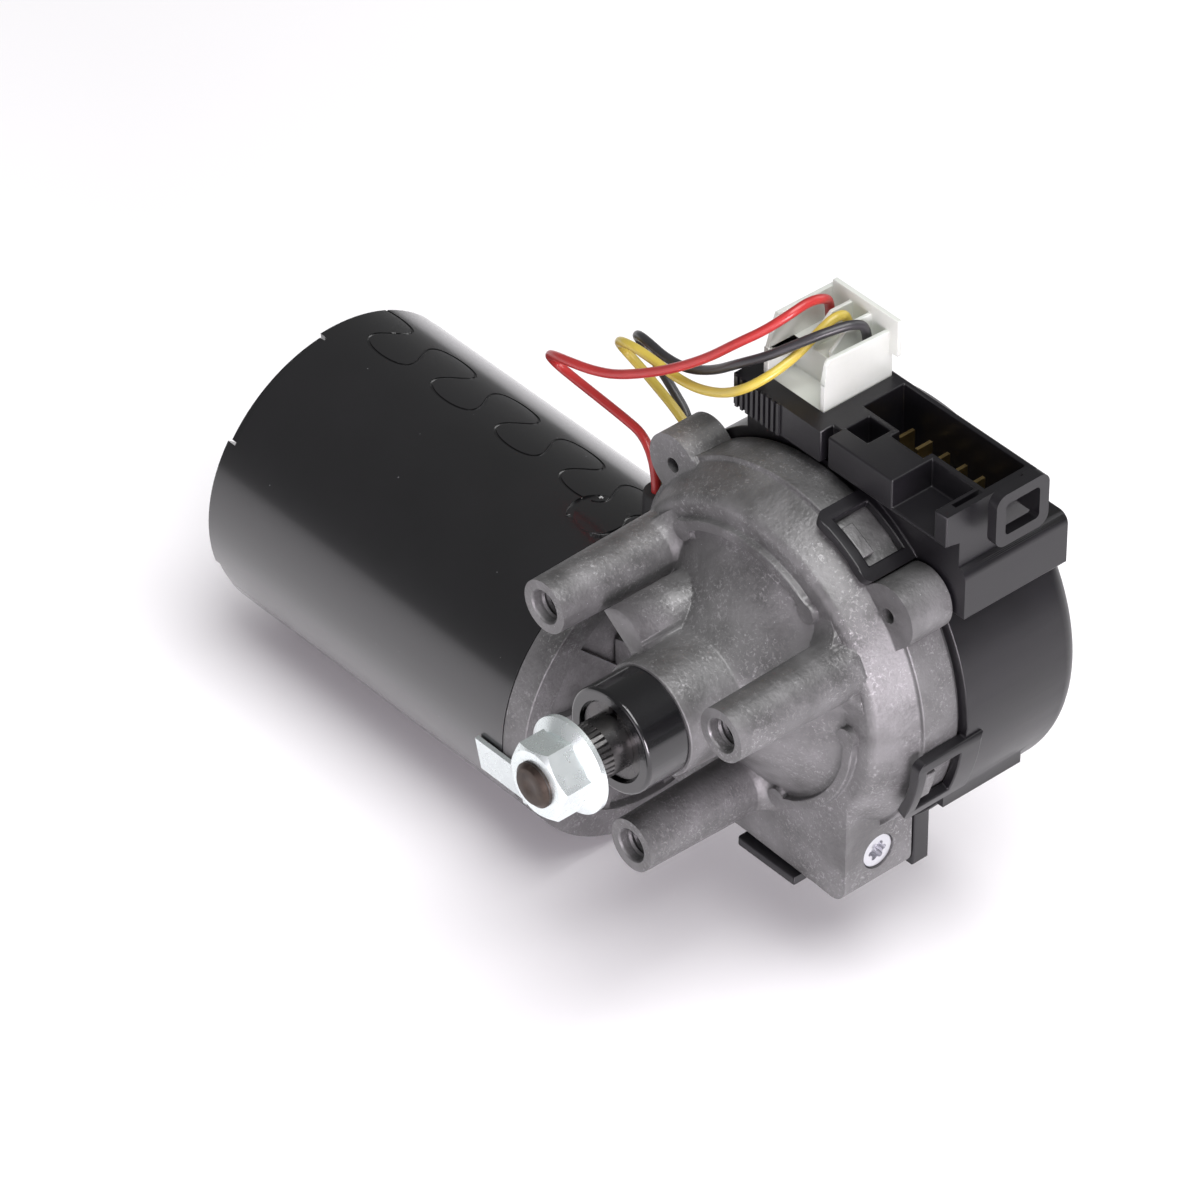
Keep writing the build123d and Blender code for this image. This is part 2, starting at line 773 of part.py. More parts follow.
# Worm wheel: moulded wheel with slanted teeth, clinched on the output shaft
hub_r = 11.0
hub_front_y = case_inner_y + 1.0 + slide
washer_t = 1.0
web_recess = 1.6
tooth_half = (worm_lead / 2 - tooth_backlash / 2) / 2
wheel_tooth_slope = tan(radians(flank_angle + 4))
slant = tan(radians(lead_angle))

# One tooth at the bottom of the wheel, leaning as the thread does where they meet
with BuildPart() as wheel_tooth:
    with BuildSketch(axial(wheel_front_y)):
        with BuildLine():
            root_half = tooth_half + (wheel_pitch_r - wheel_root_r) * wheel_tooth_slope
            tip_half = tooth_half - (wheel_tip_r - wheel_pitch_r) * wheel_tooth_slope
            shift = slant * wheel_width / 2
            Polyline(
                (shift - root_half, 0.4 - wheel_root_r),
                (shift + root_half, 0.4 - wheel_root_r),
                (shift + tip_half, -wheel_tip_r),
                (shift - tip_half, -wheel_tip_r),
                close=True,
            )
        make_face()
    extrude(amount=wheel_width / cos(radians(lead_angle)), dir=(-slant, 1, 0))

with BuildPart() as worm_wheel:
    with BuildSketch(axial(wheel_front_y)):
        Circle(wheel_root_r)
    extrude(amount=-wheel_width)
    with BuildSketch(axial(wheel_front_y)):
        Circle(wheel_root_r - 4)
        Circle(hub_r + 1, mode=Mode.SUBTRACT)
    extrude(amount=-web_recess, mode=Mode.SUBTRACT)
    with BuildSketch(axial(hub_front_y)):
        Circle(hub_r)
    extrude(amount=-(wheel_back_y - hub_front_y))
    for tooth in range(wheel_teeth):
        add(wheel_tooth.part.rotate(Axis.Y, tooth * 360 / wheel_teeth))
    with BuildSketch(axial(wheel_front_y - 1)):
        Circle(shaft_r)
    extrude(amount=-(wheel_width + 2), mode=Mode.SUBTRACT)
finish(worm_wheel, "worm_wheel")

# Output shaft: journal, splined taper and M10 thread
taper_front_y = -15.2
taper_back_y = -9.6
taper_small_r = 5.4
spline_count = 30
spline_depth = 0.5
ring_groove_y = -4.9
ring_t = 1.0
ring_groove_depth = 0.6
shaft_end_y = wheel_back_y + 1.6
thread_end_chamfer = 0.9

with BuildPart() as output_shaft:
    with BuildSketch(Plane.XY):
        with BuildLine():
            Polyline(
                (0, shaft_tip_y),
                (thread_r - thread_end_chamfer, shaft_tip_y),
                (thread_r, shaft_tip_y + thread_end_chamfer),
                (thread_r, taper_front_y),
                (taper_small_r, taper_front_y),
                (shaft_r, taper_back_y),
                (shaft_r, ring_groove_y),
                (shaft_r - ring_groove_depth, ring_groove_y),
                (shaft_r - ring_groove_depth, ring_groove_y + ring_t + 0.1),
                (shaft_r, ring_groove_y + ring_t + 0.1),
                (shaft_r, shaft_end_y),
                (0, shaft_end_y),
                close=True,
            )
        make_face()
    revolve(axis=Axis.Y)
    with BuildSketch(axial(taper_front_y - 0.2)):
        with PolarLocations(shaft_r, spline_count):
            Polygon((-spline_depth, 0), (0.4, 0.62), (0.4, -0.62), align=None)
    extrude(amount=-(taper_back_y - taper_front_y + 0.2), mode=Mode.SUBTRACT)
finish(output_shaft, "output_shaft")

with BuildPart() as retaining_ring:
    with BuildSketch(axial(ring_groove_y + 0.05)):
        Circle(8.4)
        Circle(shaft_r - ring_groove_depth + 0.05, mode=Mode.SUBTRACT)
        with Locations((0, 7)):
            Rectangle(2.4, 6, mode=Mode.SUBTRACT)
    extrude(amount=-ring_t)
finish(retaining_ring, "retaining_ring")

# Flange nut on the thread
nut_back_y = taper_front_y - 0.1

with BuildPart() as flange_nut:
    with BuildSketch(axial(nut_back_y)):
        RegularPolygon(nut_across_flats / 2, 6, major_radius=False, rotation=12)
    extrude(amount=nut_height)
    with BuildSketch(Plane.XY):
        with BuildLine():
            Polyline(
                (0, nut_back_y - nut_height),
                (nut_across_flats / 2 - 0.3, nut_back_y - nut_height),
                (nut_across_flats / 2 + 1.4, nut_back_y - nut_height + 1.0),
                (nut_across_flats / 2 + 1.4, nut_back_y + 1),
                (0, nut_back_y + 1),
                close=True,
            )
        make_face()
    revolve(axis=Axis.Y, mode=Mode.INTERSECT)
    with BuildSketch(Plane.XY):
        with BuildLine():
            Polyline(
                (0, nut_back_y),
                (nut_flange_r, nut_back_y),
                (nut_flange_r, nut_back_y - nut_flange_t * 0.6),
                (nut_across_flats / 2 + 0.6, nut_back_y - nut_flange_t - 1.0),
                (0, nut_back_y - nut_flange_t - 1.0),
                close=True,
            )
        make_face()
    revolve(axis=Axis.Y)
    with BuildSketch(axial(nut_back_y + 1)):
        Circle(thread_r + slide)
    extrude(amount=nut_height + 2, mode=Mode.SUBTRACT)
finish(flange_nut, "flange_nut")

# Output bushes in the tower, thrust washer on the case wall, seal in the nose
seal_length = 2.0
bush_front_y = nose_front_y + seal_length + 0.6
bush_back_y = case_inner_y - bush_length

with BuildPart() as output_bushes:
    for y in (bush_front_y, bush_back_y):
        with BuildSketch(axial(y)):
            Circle(bush_r - 0.01)
            Circle(shaft_r + running, mode=Mode.SUBTRACT)
        extrude(amount=-bush_length)
finish(output_bushes, "output_bushes")

with BuildPart() as shaft_seal:
    with BuildSketch(axial(nose_front_y + 0.3)):
        Circle(bush_r - 0.01)
        Circle(shaft_r + running, mode=Mode.SUBTRACT)
    extrude(amount=-seal_length)
finish(shaft_seal, "shaft_seal")

with BuildPart() as thrust_washer:
    with BuildSketch(axial(case_inner_y)):
        Circle(hub_r)
        Circle(shaft_r + running, mode=Mode.SUBTRACT)
    extrude(amount=-washer_t)
finish(thrust_washer, "thrust_washer")

# Cap over the nose, with a ringed recess round the shaft
cap_recess_r = 9.0
cap_recess_depth = 1.9
with BuildPart() as shaft_cap:
    with BuildSketch(axial(cap_face_y)):
        Circle(cap_r)
    extrude(amount=-(tower_front_y - cap_face_y))
    fillet(edges().filter_by(GeomType.CIRCLE).sort_by(Axis.Y)[0], 0.8)
    with BuildSketch(axial(nose_front_y - slide)):
        Circle(nose_r + slide)
    extrude(amount=-(tower_front_y - nose_front_y + slide), mode=Mode.SUBTRACT)
    with BuildSketch(axial(cap_face_y)):
        Circle(cap_recess_r)
    extrude(amount=-cap_recess_depth, mode=Mode.SUBTRACT)
    with BuildSketch(axial(cap_face_y)):
        Circle(shaft_r + gap)
    extrude(amount=-(nose_front_y - cap_face_y), mode=Mode.SUBTRACT)
finish(shaft_cap, "shaft_cap")

# Park switch: copper disc on the wheel and three contact fingers in the cover
disc_t = 0.8
disc_r = 24.0
disc_notch_angle = 40.0
finger_t = 0.4
finger_w = 3.0
finger_radii = (12.0, 17.0, 22.0)
finger_rows = (-7.0, 0.0, 7.0)
pedestal_x = -26.0
pedestal_w = 8.0

disc_notch = ring_sector(19.5, disc_r + 1, 90 - disc_notch_angle / 2, disc_notch_angle)

with BuildPart() as park_disc:
    with BuildSketch(axial(wheel_back_y)):
        Circle(disc_r)
        Circle(8.0, mode=Mode.SUBTRACT)
        add(disc_notch, mode=Mode.SUBTRACT)
    extrude(amount=-disc_t)
finish(park_disc, "park_disc")

finger_y = wheel_back_y + disc_t + gap
finger_lift = 1.6
with BuildPart() as park_contacts:
    for radius, row in zip(finger_radii, finger_rows):
        tip_x = -sqrt(radius**2 - row**2)
        with BuildSketch(Plane.XY.offset(row - finger_w / 2)):
            with BuildLine():
                Polyline(
                    (pedestal_x - pedestal_w / 2, finger_y + finger_lift),
                    (pedestal_x + pedestal_w / 2, finger_y + finger_lift),
                    (tip_x - 1.4, finger_y),
                    (tip_x, finger_y),
                    (tip_x, finger_y + finger_t),
                    (tip_x - 1.3, finger_y + finger_t),
                    (pedestal_x + pedestal_w / 2 + 0.1, finger_y + finger_lift + finger_t),
                    (pedestal_x - pedestal_w / 2, finger_y + finger_lift + finger_t),
                    close=True,
                )
            make_face()
        extrude(amount=finger_w)
finish(park_contacts, "park_contacts")

# Gasket between housing and cover
with BuildPart() as cover_gasket:
    with BuildSketch(axial(parting_y)):
        Circle(band_r - 0.6)
        Circle(cavity_r, mode=Mode.SUBTRACT)
        with Locations((cover_left_x - 10, 0)):
            Rectangle(20, 4 * band_r, mode=Mode.SUBTRACT)
    extrude(amount=-gasket_t)
finish(cover_gasket, "cover_gasket")

# Rear cover with the connector block, one moulding
box_top_z = 38.0
box_low_z = 26.0
box_back_y = 77.0
box_right_x = 41.0
box_edge_r = 2.4
cup_edge_r = 4.5
side_block_right_x = 37.0
side_block_low_z = -24.6
side_block_top_z = -16.0
side_block_back_y = 71.0
socket_left_x = 2.6
socket_right_x = 36.8
socket_front_y = 58.0
socket_back_y = 68.7
key_left_x = 13.0
key_right_x = 22.0
key_front_y = 55.6
pocket_floor_z = 45.4
slit_floor_z = 47.0
cavity_back_y = cover_back_y - cover_wall
frame_out_x = 44.4
frame_t = 2.4
frame_front_y = 54.0
frame_back_y = 68.0
frame_low_z = 43.0
frame_high_z = 55.6
frame_bar = 2.5
frame_corner_r = 2.6
rib_count = 9
rib_step = 1.5

latch_sectors = [
    ring_sector(latch_inner_r, latch_outer_r, angle - latch_half_angle, 2 * latch_half_angle)
    for angle in latch_angles
]
window_half_angle = latch_window_share * latch_half_angle
latch_windows = [
    ring_sector(latch_inner_r - 1, latch_outer_r + 1, angle - window_half_angle, 2 * window_half_angle)
    for angle in latch_angles
]

with BuildPart() as gear_cover:
    # Lip on the parting plane, with the corner that closes the worm tube
    with BuildSketch(axial(cover_front_y)):
        Circle(band_r + 0.8)
        with Locations(((worm_end_x - 2) / 2, block_bottom_z / 2)):
            Rectangle(worm_end_x + 2, -block_bottom_z)
    extrude(amount=-cover_lip_t)
    # Round cup
    with BuildSketch(axial(cover_front_y)):
        Circle(cover_r)
    extrude(amount=-(cover_back_y - cover_front_y), taper=0.6)
    fillet(edges().filter_by(GeomType.CIRCLE).sort_by(Axis.Y)[-1], cup_edge_r)
    # Block beside the cup, low on the right
    add_box(
        (0, cover_front_y, side_block_low_z),
        (side_block_right_x, side_block_back_y, side_block_top_z),
    )
    # Box under the connectors
    add_box((0, cover_front_y, box_low_z), (box_right_x, box_back_y, box_top_z))
    box_edge = edges().filter_by(Axis.Y).filter_by(
        lambda e: abs(e.center().X - box_right_x) < 0.01 and e.center().Z > box_top_z - 0.01
    )
    fillet(box_edge, box_edge_r)
    # Connector block
    add_box((block_left_x, cover_front_y, box_low_z + 4), (block_right_x, block_back_y, block_top_z))
    add_box((block_left_x, block_front_y, block_under_z), (block_right_x, cover_front_y, block_top_z))
    # Room behind the wheel
    with BuildSketch(axial(cover_front_y)):
        Circle(cavity_r)
    extrude(amount=-(cavity_back_y - cover_front_y), mode=Mode.SUBTRACT)
    # Pedestal for the contact fingers
    add_box(
        (pedestal_x - pedestal_w / 2, finger_y + finger_lift + finger_t, -10),
        (pedestal_x + pedestal_w / 2, cover_back_y - 1, 10),
    )
    # Keep clear of the motor flange
    add_box((-60, cover_front_y - 10, -60), (cover_left_x, cover_back_y + 10, 60), mode=Mode.SUBTRACT)
    # Vehicle socket with its stepped front wall
    add_box(
        (socket_left_x, socket_front_y, socket_floor_z),
        (socket_right_x, socket_back_y, block_top_z),
        mode=Mode.SUBTRACT,
    )
    add_box(
        (key_left_x, key_front_y, socket_floor_z + 4),
        (key_right_x, socket_front_y, block_top_z),
        mode=Mode.SUBTRACT,
    )
    add_box(
        (5.6, 50.6, pocket_floor_z),
        (key_left_x - 1.4, socket_front_y - 1.4, block_top_z),
        mode=Mode.SUBTRACT,
    )
    add_box(
        (key_right_x + 1.6, block_front_y, pocket_floor_z),
        (35.4, socket_front_y - 1.4, block_top_z),
        mode=Mode.SUBTRACT,
    )
    add_box((3.2, block_front_y, block_under_z), (5.2, 49.4, block_top_z), mode=Mode.SUBTRACT)
    add_box((36.4, 49.6, slit_floor_z), (37.6, 56.8, block_top_z), mode=Mode.SUBTRACT)
    # Seat for the motor plug
    add_box(
        (plug_left_x - slide, plug_front_y - slide, plug_seat_z),
        (plug_right_x + slide, plug_back_y + slide, block_top_z),
        mode=Mode.SUBTRACT,
    )
    # Serrations on the left front face
    for i in range(rib_count):
        x = block_left_x + 0.8 + i * rib_step
        add_box((x, block_front_y - 0.5, block_under_z), (x + rib_step / 2, block_front_y, block_top_z))
    # Hook frame on the right end of the block
    frame_centre = ((frame_front_y + frame_back_y) / 2, (frame_low_z + frame_high_z) / 2)
    frame_size = (frame_back_y - frame_front_y, frame_high_z - frame_low_z)
    with BuildSketch(Plane.YZ.offset(frame_out_x)):
        with Locations(frame_centre):
            RectangleRounded(*frame_size, frame_corner_r)
            RectangleRounded(*[size - 2 * frame_bar for size in frame_size], 1.0, mode=Mode.SUBTRACT)
    extrude(amount=-frame_t)
    add_box(
        (block_right_x, frame_back_y - frame_bar, frame_low_z + frame_corner_r),
        (frame_out_x, frame_back_y - 0.2, frame_high_z - frame_corner_r),
    )
    # Latch loops over the rim band
    with BuildSketch(axial(latch_front_y)):
        add(latch_sectors)
    extrude(amount=-(cover_front_y + cover_lip_t - latch_front_y))
    with BuildSketch(axial(latch_front_y + latch_bar)):
        add(latch_windows)
    extrude(amount=-(cover_front_y - 1.6 - latch_front_y - latch_bar), mode=Mode.SUBTRACT)
    loop_corners = edges().filter_by(
        lambda e: abs(e.length - latch_t) < 0.05
        and abs(e.center().Y - latch_front_y) < 0.01
        and abs(hypot(e.center().X, e.center().Z) - (latch_inner_r + latch_t / 2)) < 0.1
    )
    fillet(loop_corners, latch_corner_r)
    # Flat latch under the worm tube
    add_box(
        (low_latch_x - latch_half_w, low_latch_front_y, block_bottom_z - gap - latch_t),
        (low_latch_x + latch_half_w, cover_front_y + cover_lip_t, block_bottom_z - gap),
    )
    add_box(
        (low_latch_x - latch_half_w, cover_front_y, block_bottom_z - gap - latch_t),
        (low_latch_x + latch_half_w, cover_front_y + cover_lip_t, block_bottom_z + 2),
    )
    low_window_half_w = latch_window_share * latch_half_w
    low_latch_z = block_bottom_z - gap - latch_t
    add_box(
        (low_latch_x - low_window_half_w, low_latch_front_y + latch_bar, low_latch_z - 1),
        (low_latch_x + low_window_half_w, cover_front_y - 1.6, block_bottom_z),
        mode=Mode.SUBTRACT,
    )
finish(gear_cover, "gear_cover")

# Socket blades
blade_w = 4.0
blade_t = 0.8
blade_top_z = 44.0
blade_first_x = 7.0
blade_y = 65.4
with BuildPart() as socket_blades:
    for i in range(blade_count):
        x = blade_first_x + i * blade_pitch
        add_box(
            (x - blade_t / 2, blade_y - blade_w / 2, socket_floor_z),
            (x + blade_t / 2, blade_y + blade_w / 2, blade_top_z),
        )
finish(socket_blades, "socket_blades")

# Motor plug: three cells between tall plates
way_first_x = -15.0
way_y = 65.0
way_count = 3
pin_w = 3.0
pin_t = 0.8
pin_top_z = 50.0

divider_t = 0.9
divider_front_y = 57.5
left_plate = [(plug_front_y, 57.0), (53.6, 65.3), (plug_back_y, 65.0), (plug_back_y, 57.0)]
right_plate = [(plug_front_y, 57.0), (51.4, 63.0), (52.2, 63.8), (plug_back_y, 63.0), (plug_back_y, 57.0)]
divider = [
    (divider_front_y, 57.0),
    (divider_front_y, 60.0),
    (62.6, 64.5),
    (plug_back_y, 64.3),
    (plug_back_y, 57.0),
]
plug_plates = [
    (plug_left_x, plug_plate_t, left_plate),
    (plug_right_x - plug_plate_t, plug_plate_t, right_plate),
]
for way in range(way_count - 1):
    plug_plates.append((way_first_x + (way + 0.5) * way_pitch - divider_t / 2, divider_t, divider))

with BuildPart() as plug_housing:
    add_box((plug_left_x, plug_front_y, plug_seat_z), (plug_right_x, plug_back_y, plug_cell_z))
    add_box(
        (plug_left_x + 1.2, plug_front_y - 1, 51.0),
        (plug_right_x - 1.2, divider_front_y, plug_cell_z + 1),
        mode=Mode.SUBTRACT,
    )
    add_box(
        (plug_left_x + 1.0, plug_back_y - plug_plate_t, plug_cell_z),
        (plug_right_x + 2.4, plug_back_y, plug_plate_z + 0.6),
    )
    for x, thickness, outline in plug_plates:
        with BuildSketch(Plane.YZ.offset(x)):
            with BuildLine():
                Polyline(*outline, close=True)
            make_face()
        extrude(amount=thickness)
    for i in range(way_count):
        x = way_first_x + i * way_pitch
        add_box(
            (x - pin_t / 2 - slide, way_y - pin_w / 2 - slide, plug_seat_z),
            (x + pin_t / 2 + slide, way_y + pin_w / 2 + slide, pin_top_z + 0.5),
            mode=Mode.SUBTRACT,
        )
finish(plug_housing, "plug_housing")

with BuildPart() as plug_pins:
    for i in range(way_count):
        x = way_first_x + i * way_pitch
        add_box(
            (x - pin_t / 2, way_y - pin_w / 2, plug_seat_z),
            (x + pin_t / 2, way_y + pin_w / 2, pin_top_z),
        )
finish(plug_pins, "plug_pins")

# Grommet in the wire outlet
with BuildPart() as wire_grommet:
    with BuildSketch(Plane.XY.offset(wire_exit_top_z - grommet_stem_length)):
        with Locations((wire_exit_x, wire_exit_y)):
            SlotOverall(*grommet_stem_size, rotation=90)
    extrude(amount=grommet_stem_length)
    with BuildSketch(Plane.XY.offset(wire_exit_top_z)):
        with Locations((wire_exit_x, wire_exit_y)):
            SlotOverall(*grommet_head_size, rotation=90)
    extrude(amount=grommet_top_z - wire_exit_top_z, taper=2)
    fillet(edges().group_by(Axis.Z)[-1], 0.6)
finish(wire_grommet, "wire_grommet")

# Wires from the grommet to the plug, as straight runs joined by arcs
wire_spread = 2.4
wire_routes = {
    "wire_red": [
        (wire_exit_x - 0.4, wire_exit_y - wire_spread, grommet_top_z),
        (wire_exit_x - 0.4, wire_exit_y - wire_spread, 17.5),
        (-47.3, 45.2, 21.8),
        (-55.0, 46.2, 21.5),
        (-64.0, 47.4, 20.7),
        (-73.5, 49.0, 19.4),
        (-78.2, 48.6, 20.4),
        (-78.0, 46.2, 24.2),
        (-73.0, 44.2, 27.4),
        (-67.6, 43.4, 29.4),
        (-61.2, 43.2, 31.3),
        (-54.1, 43.2, 34.2),
        (-45.0, 43.4, 39.8),
        (-37.0, 44.0, 45.4),
        (-29.0, 45.2, 51.9),
        (-22.0, 47.0, 58.9),
        (-17.3, 49.5, 63.2),
        (-14.3, 53.5, 66.9),
        (-14.0, 58.0, 67.9),
        (-13.7, 61.8, 67.2),
        (way_first_x, way_y, 64.0),
        (way_first_x, way_y, plug_cell_z),
    ],
    "wire_yellow": [
        (wire_exit_x, wire_exit_y, grommet_top_z),
        (wire_exit_x, wire_exit_y, 17.5),
        (-40.0, 50.6, 24.7),
        (-44.5, 51.0, 27.0),
        (-50.1, 51.4, 28.8),
        (-55.8, 52.2, 29.9),
        (-60.6, 52.2, 31.6),
        (-60.8, 49.9, 35.4),
        (-57.0, 47.8, 38.6),
        (-52.0, 47.0, 40.2),
        (-46.2, 46.9, 40.3),
        (-39.2, 46.4, 40.5),
        (-31.1, 45.0, 43.0),
        (-22.4, 43.8, 47.6),
        (-15.9, 43.4, 52.8),
        (-13.1, 45.8, 55.6),
        (-11.9, 50.0, 57.5),
        (-11.4, 54.5, 59.6),
        (-10.5, 58.0, 62.9),
        (-9.9, 61.5, 65.0),
        (way_first_x + way_pitch, way_y, 64.0),
        (way_first_x + way_pitch, way_y, plug_cell_z),
    ],
    "wire_black": [
        (wire_exit_x + 0.4, wire_exit_y + wire_spread, grommet_top_z),
        (wire_exit_x + 0.4, wire_exit_y + wire_spread, 17.5),
        (-41.8, 53.2, 23.8),
        (-49.8, 54.4, 28.2),
        (-54.8, 55.6, 29.5),
        (-59.4, 56.2, 31.4),
        (-60.4, 54.4, 35.0),
        (-56.8, 52.2, 38.0),
        (-52.4, 51.0, 39.1),
        (-47.0, 50.2, 39.2),
        (-39.5, 49.6, 40.8),
        (-30.5, 48.4, 46.3),
        (-21.6, 46.8, 54.0),
        (-15.8, 48.2, 58.2),
        (-12.0, 51.0, 61.3),
        (-8.9, 54.2, 63.8),
        (-6.7, 58.0, 65.2),
        (-5.0, 61.8, 65.8),
        (way_first_x + 2 * way_pitch, way_y, 64.0),
        (way_first_x + 2 * way_pitch, way_y, plug_cell_z),
    ],
}


def bend_radii(route):
    """The largest arc that each corner's two runs allow."""
    points = [Vector(*p) for p in route]
    radii = []
    for before, at, after in zip(points, points[1:], points[2:]):
        turn = radians((at - before).get_angle(after - at))
        radii.append(0.45 * min((at - before).length, (after - at).length) / tan(turn / 2))
    return radii


for name, route in wire_routes.items():
    radii = bend_radii(route)
    with BuildPart() as wire:
        with BuildLine() as path:
            FilletPolyline(*route, radius=radii)
        run = path.wires()[0]
        with BuildSketch(Plane(origin=run @ 0, z_dir=run % 0)):
            Circle(wire_r)
        sweep(path=run)
    finish(wire, name)
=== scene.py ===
"""Dressed scene of a windscreen wiper motor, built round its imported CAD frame.

Everything is in metres in the part's own frame: the origin is the centre of the three
bosses, the output shaft points to -Y, the motor lies along X and the connectors are up.
"""

import logging
import math
from dataclasses import dataclass, field
from enum import Enum

import bmesh
import bpy
from mathutils import Matrix, Vector


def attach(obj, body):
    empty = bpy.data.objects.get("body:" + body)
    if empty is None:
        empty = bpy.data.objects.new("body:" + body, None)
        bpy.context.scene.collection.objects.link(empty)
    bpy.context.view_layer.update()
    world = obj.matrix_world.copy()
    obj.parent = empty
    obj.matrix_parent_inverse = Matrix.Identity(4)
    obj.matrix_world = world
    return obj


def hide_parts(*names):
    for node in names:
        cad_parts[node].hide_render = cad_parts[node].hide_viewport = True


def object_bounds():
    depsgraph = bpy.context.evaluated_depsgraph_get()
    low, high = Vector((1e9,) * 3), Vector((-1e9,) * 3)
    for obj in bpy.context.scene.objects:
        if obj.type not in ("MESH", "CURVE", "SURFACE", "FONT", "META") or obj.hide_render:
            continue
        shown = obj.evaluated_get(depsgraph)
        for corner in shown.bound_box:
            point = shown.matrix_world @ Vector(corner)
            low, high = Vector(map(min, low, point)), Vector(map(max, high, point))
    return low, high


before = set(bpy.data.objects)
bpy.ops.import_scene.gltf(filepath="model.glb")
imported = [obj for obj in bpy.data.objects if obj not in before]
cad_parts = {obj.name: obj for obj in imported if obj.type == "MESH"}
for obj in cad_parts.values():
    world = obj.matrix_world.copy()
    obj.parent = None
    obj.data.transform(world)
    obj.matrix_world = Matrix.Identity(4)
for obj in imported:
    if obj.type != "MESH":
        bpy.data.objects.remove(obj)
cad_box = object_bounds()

logging.basicConfig(level=logging.INFO, format="%(message)s")
log = logging.getLogger("wiper_motor")

MM = 0.001
MERGE = 1e-6
Colour = tuple[float, float, float]


class Body(Enum):
    """The rigid bodies that a piece can ride on."""

    FRAME = "motor_frame"
    OUTPUT = "output"


class Grain(Enum):
    """How a surface was made, which sets the pattern of its relief."""

    BLASTED = "blasted"
    MOULDED = "moulded"
    PAINTED = "painted"
    TURNED = "turned"
    STACKED = "stacked"
    WOUND = "wound"


COARSE_SHARE: dict[Grain, float] = {Grain.BLASTED: 0.25, Grain.MOULDED: 0.35, Grain.PAINTED: 0.6}


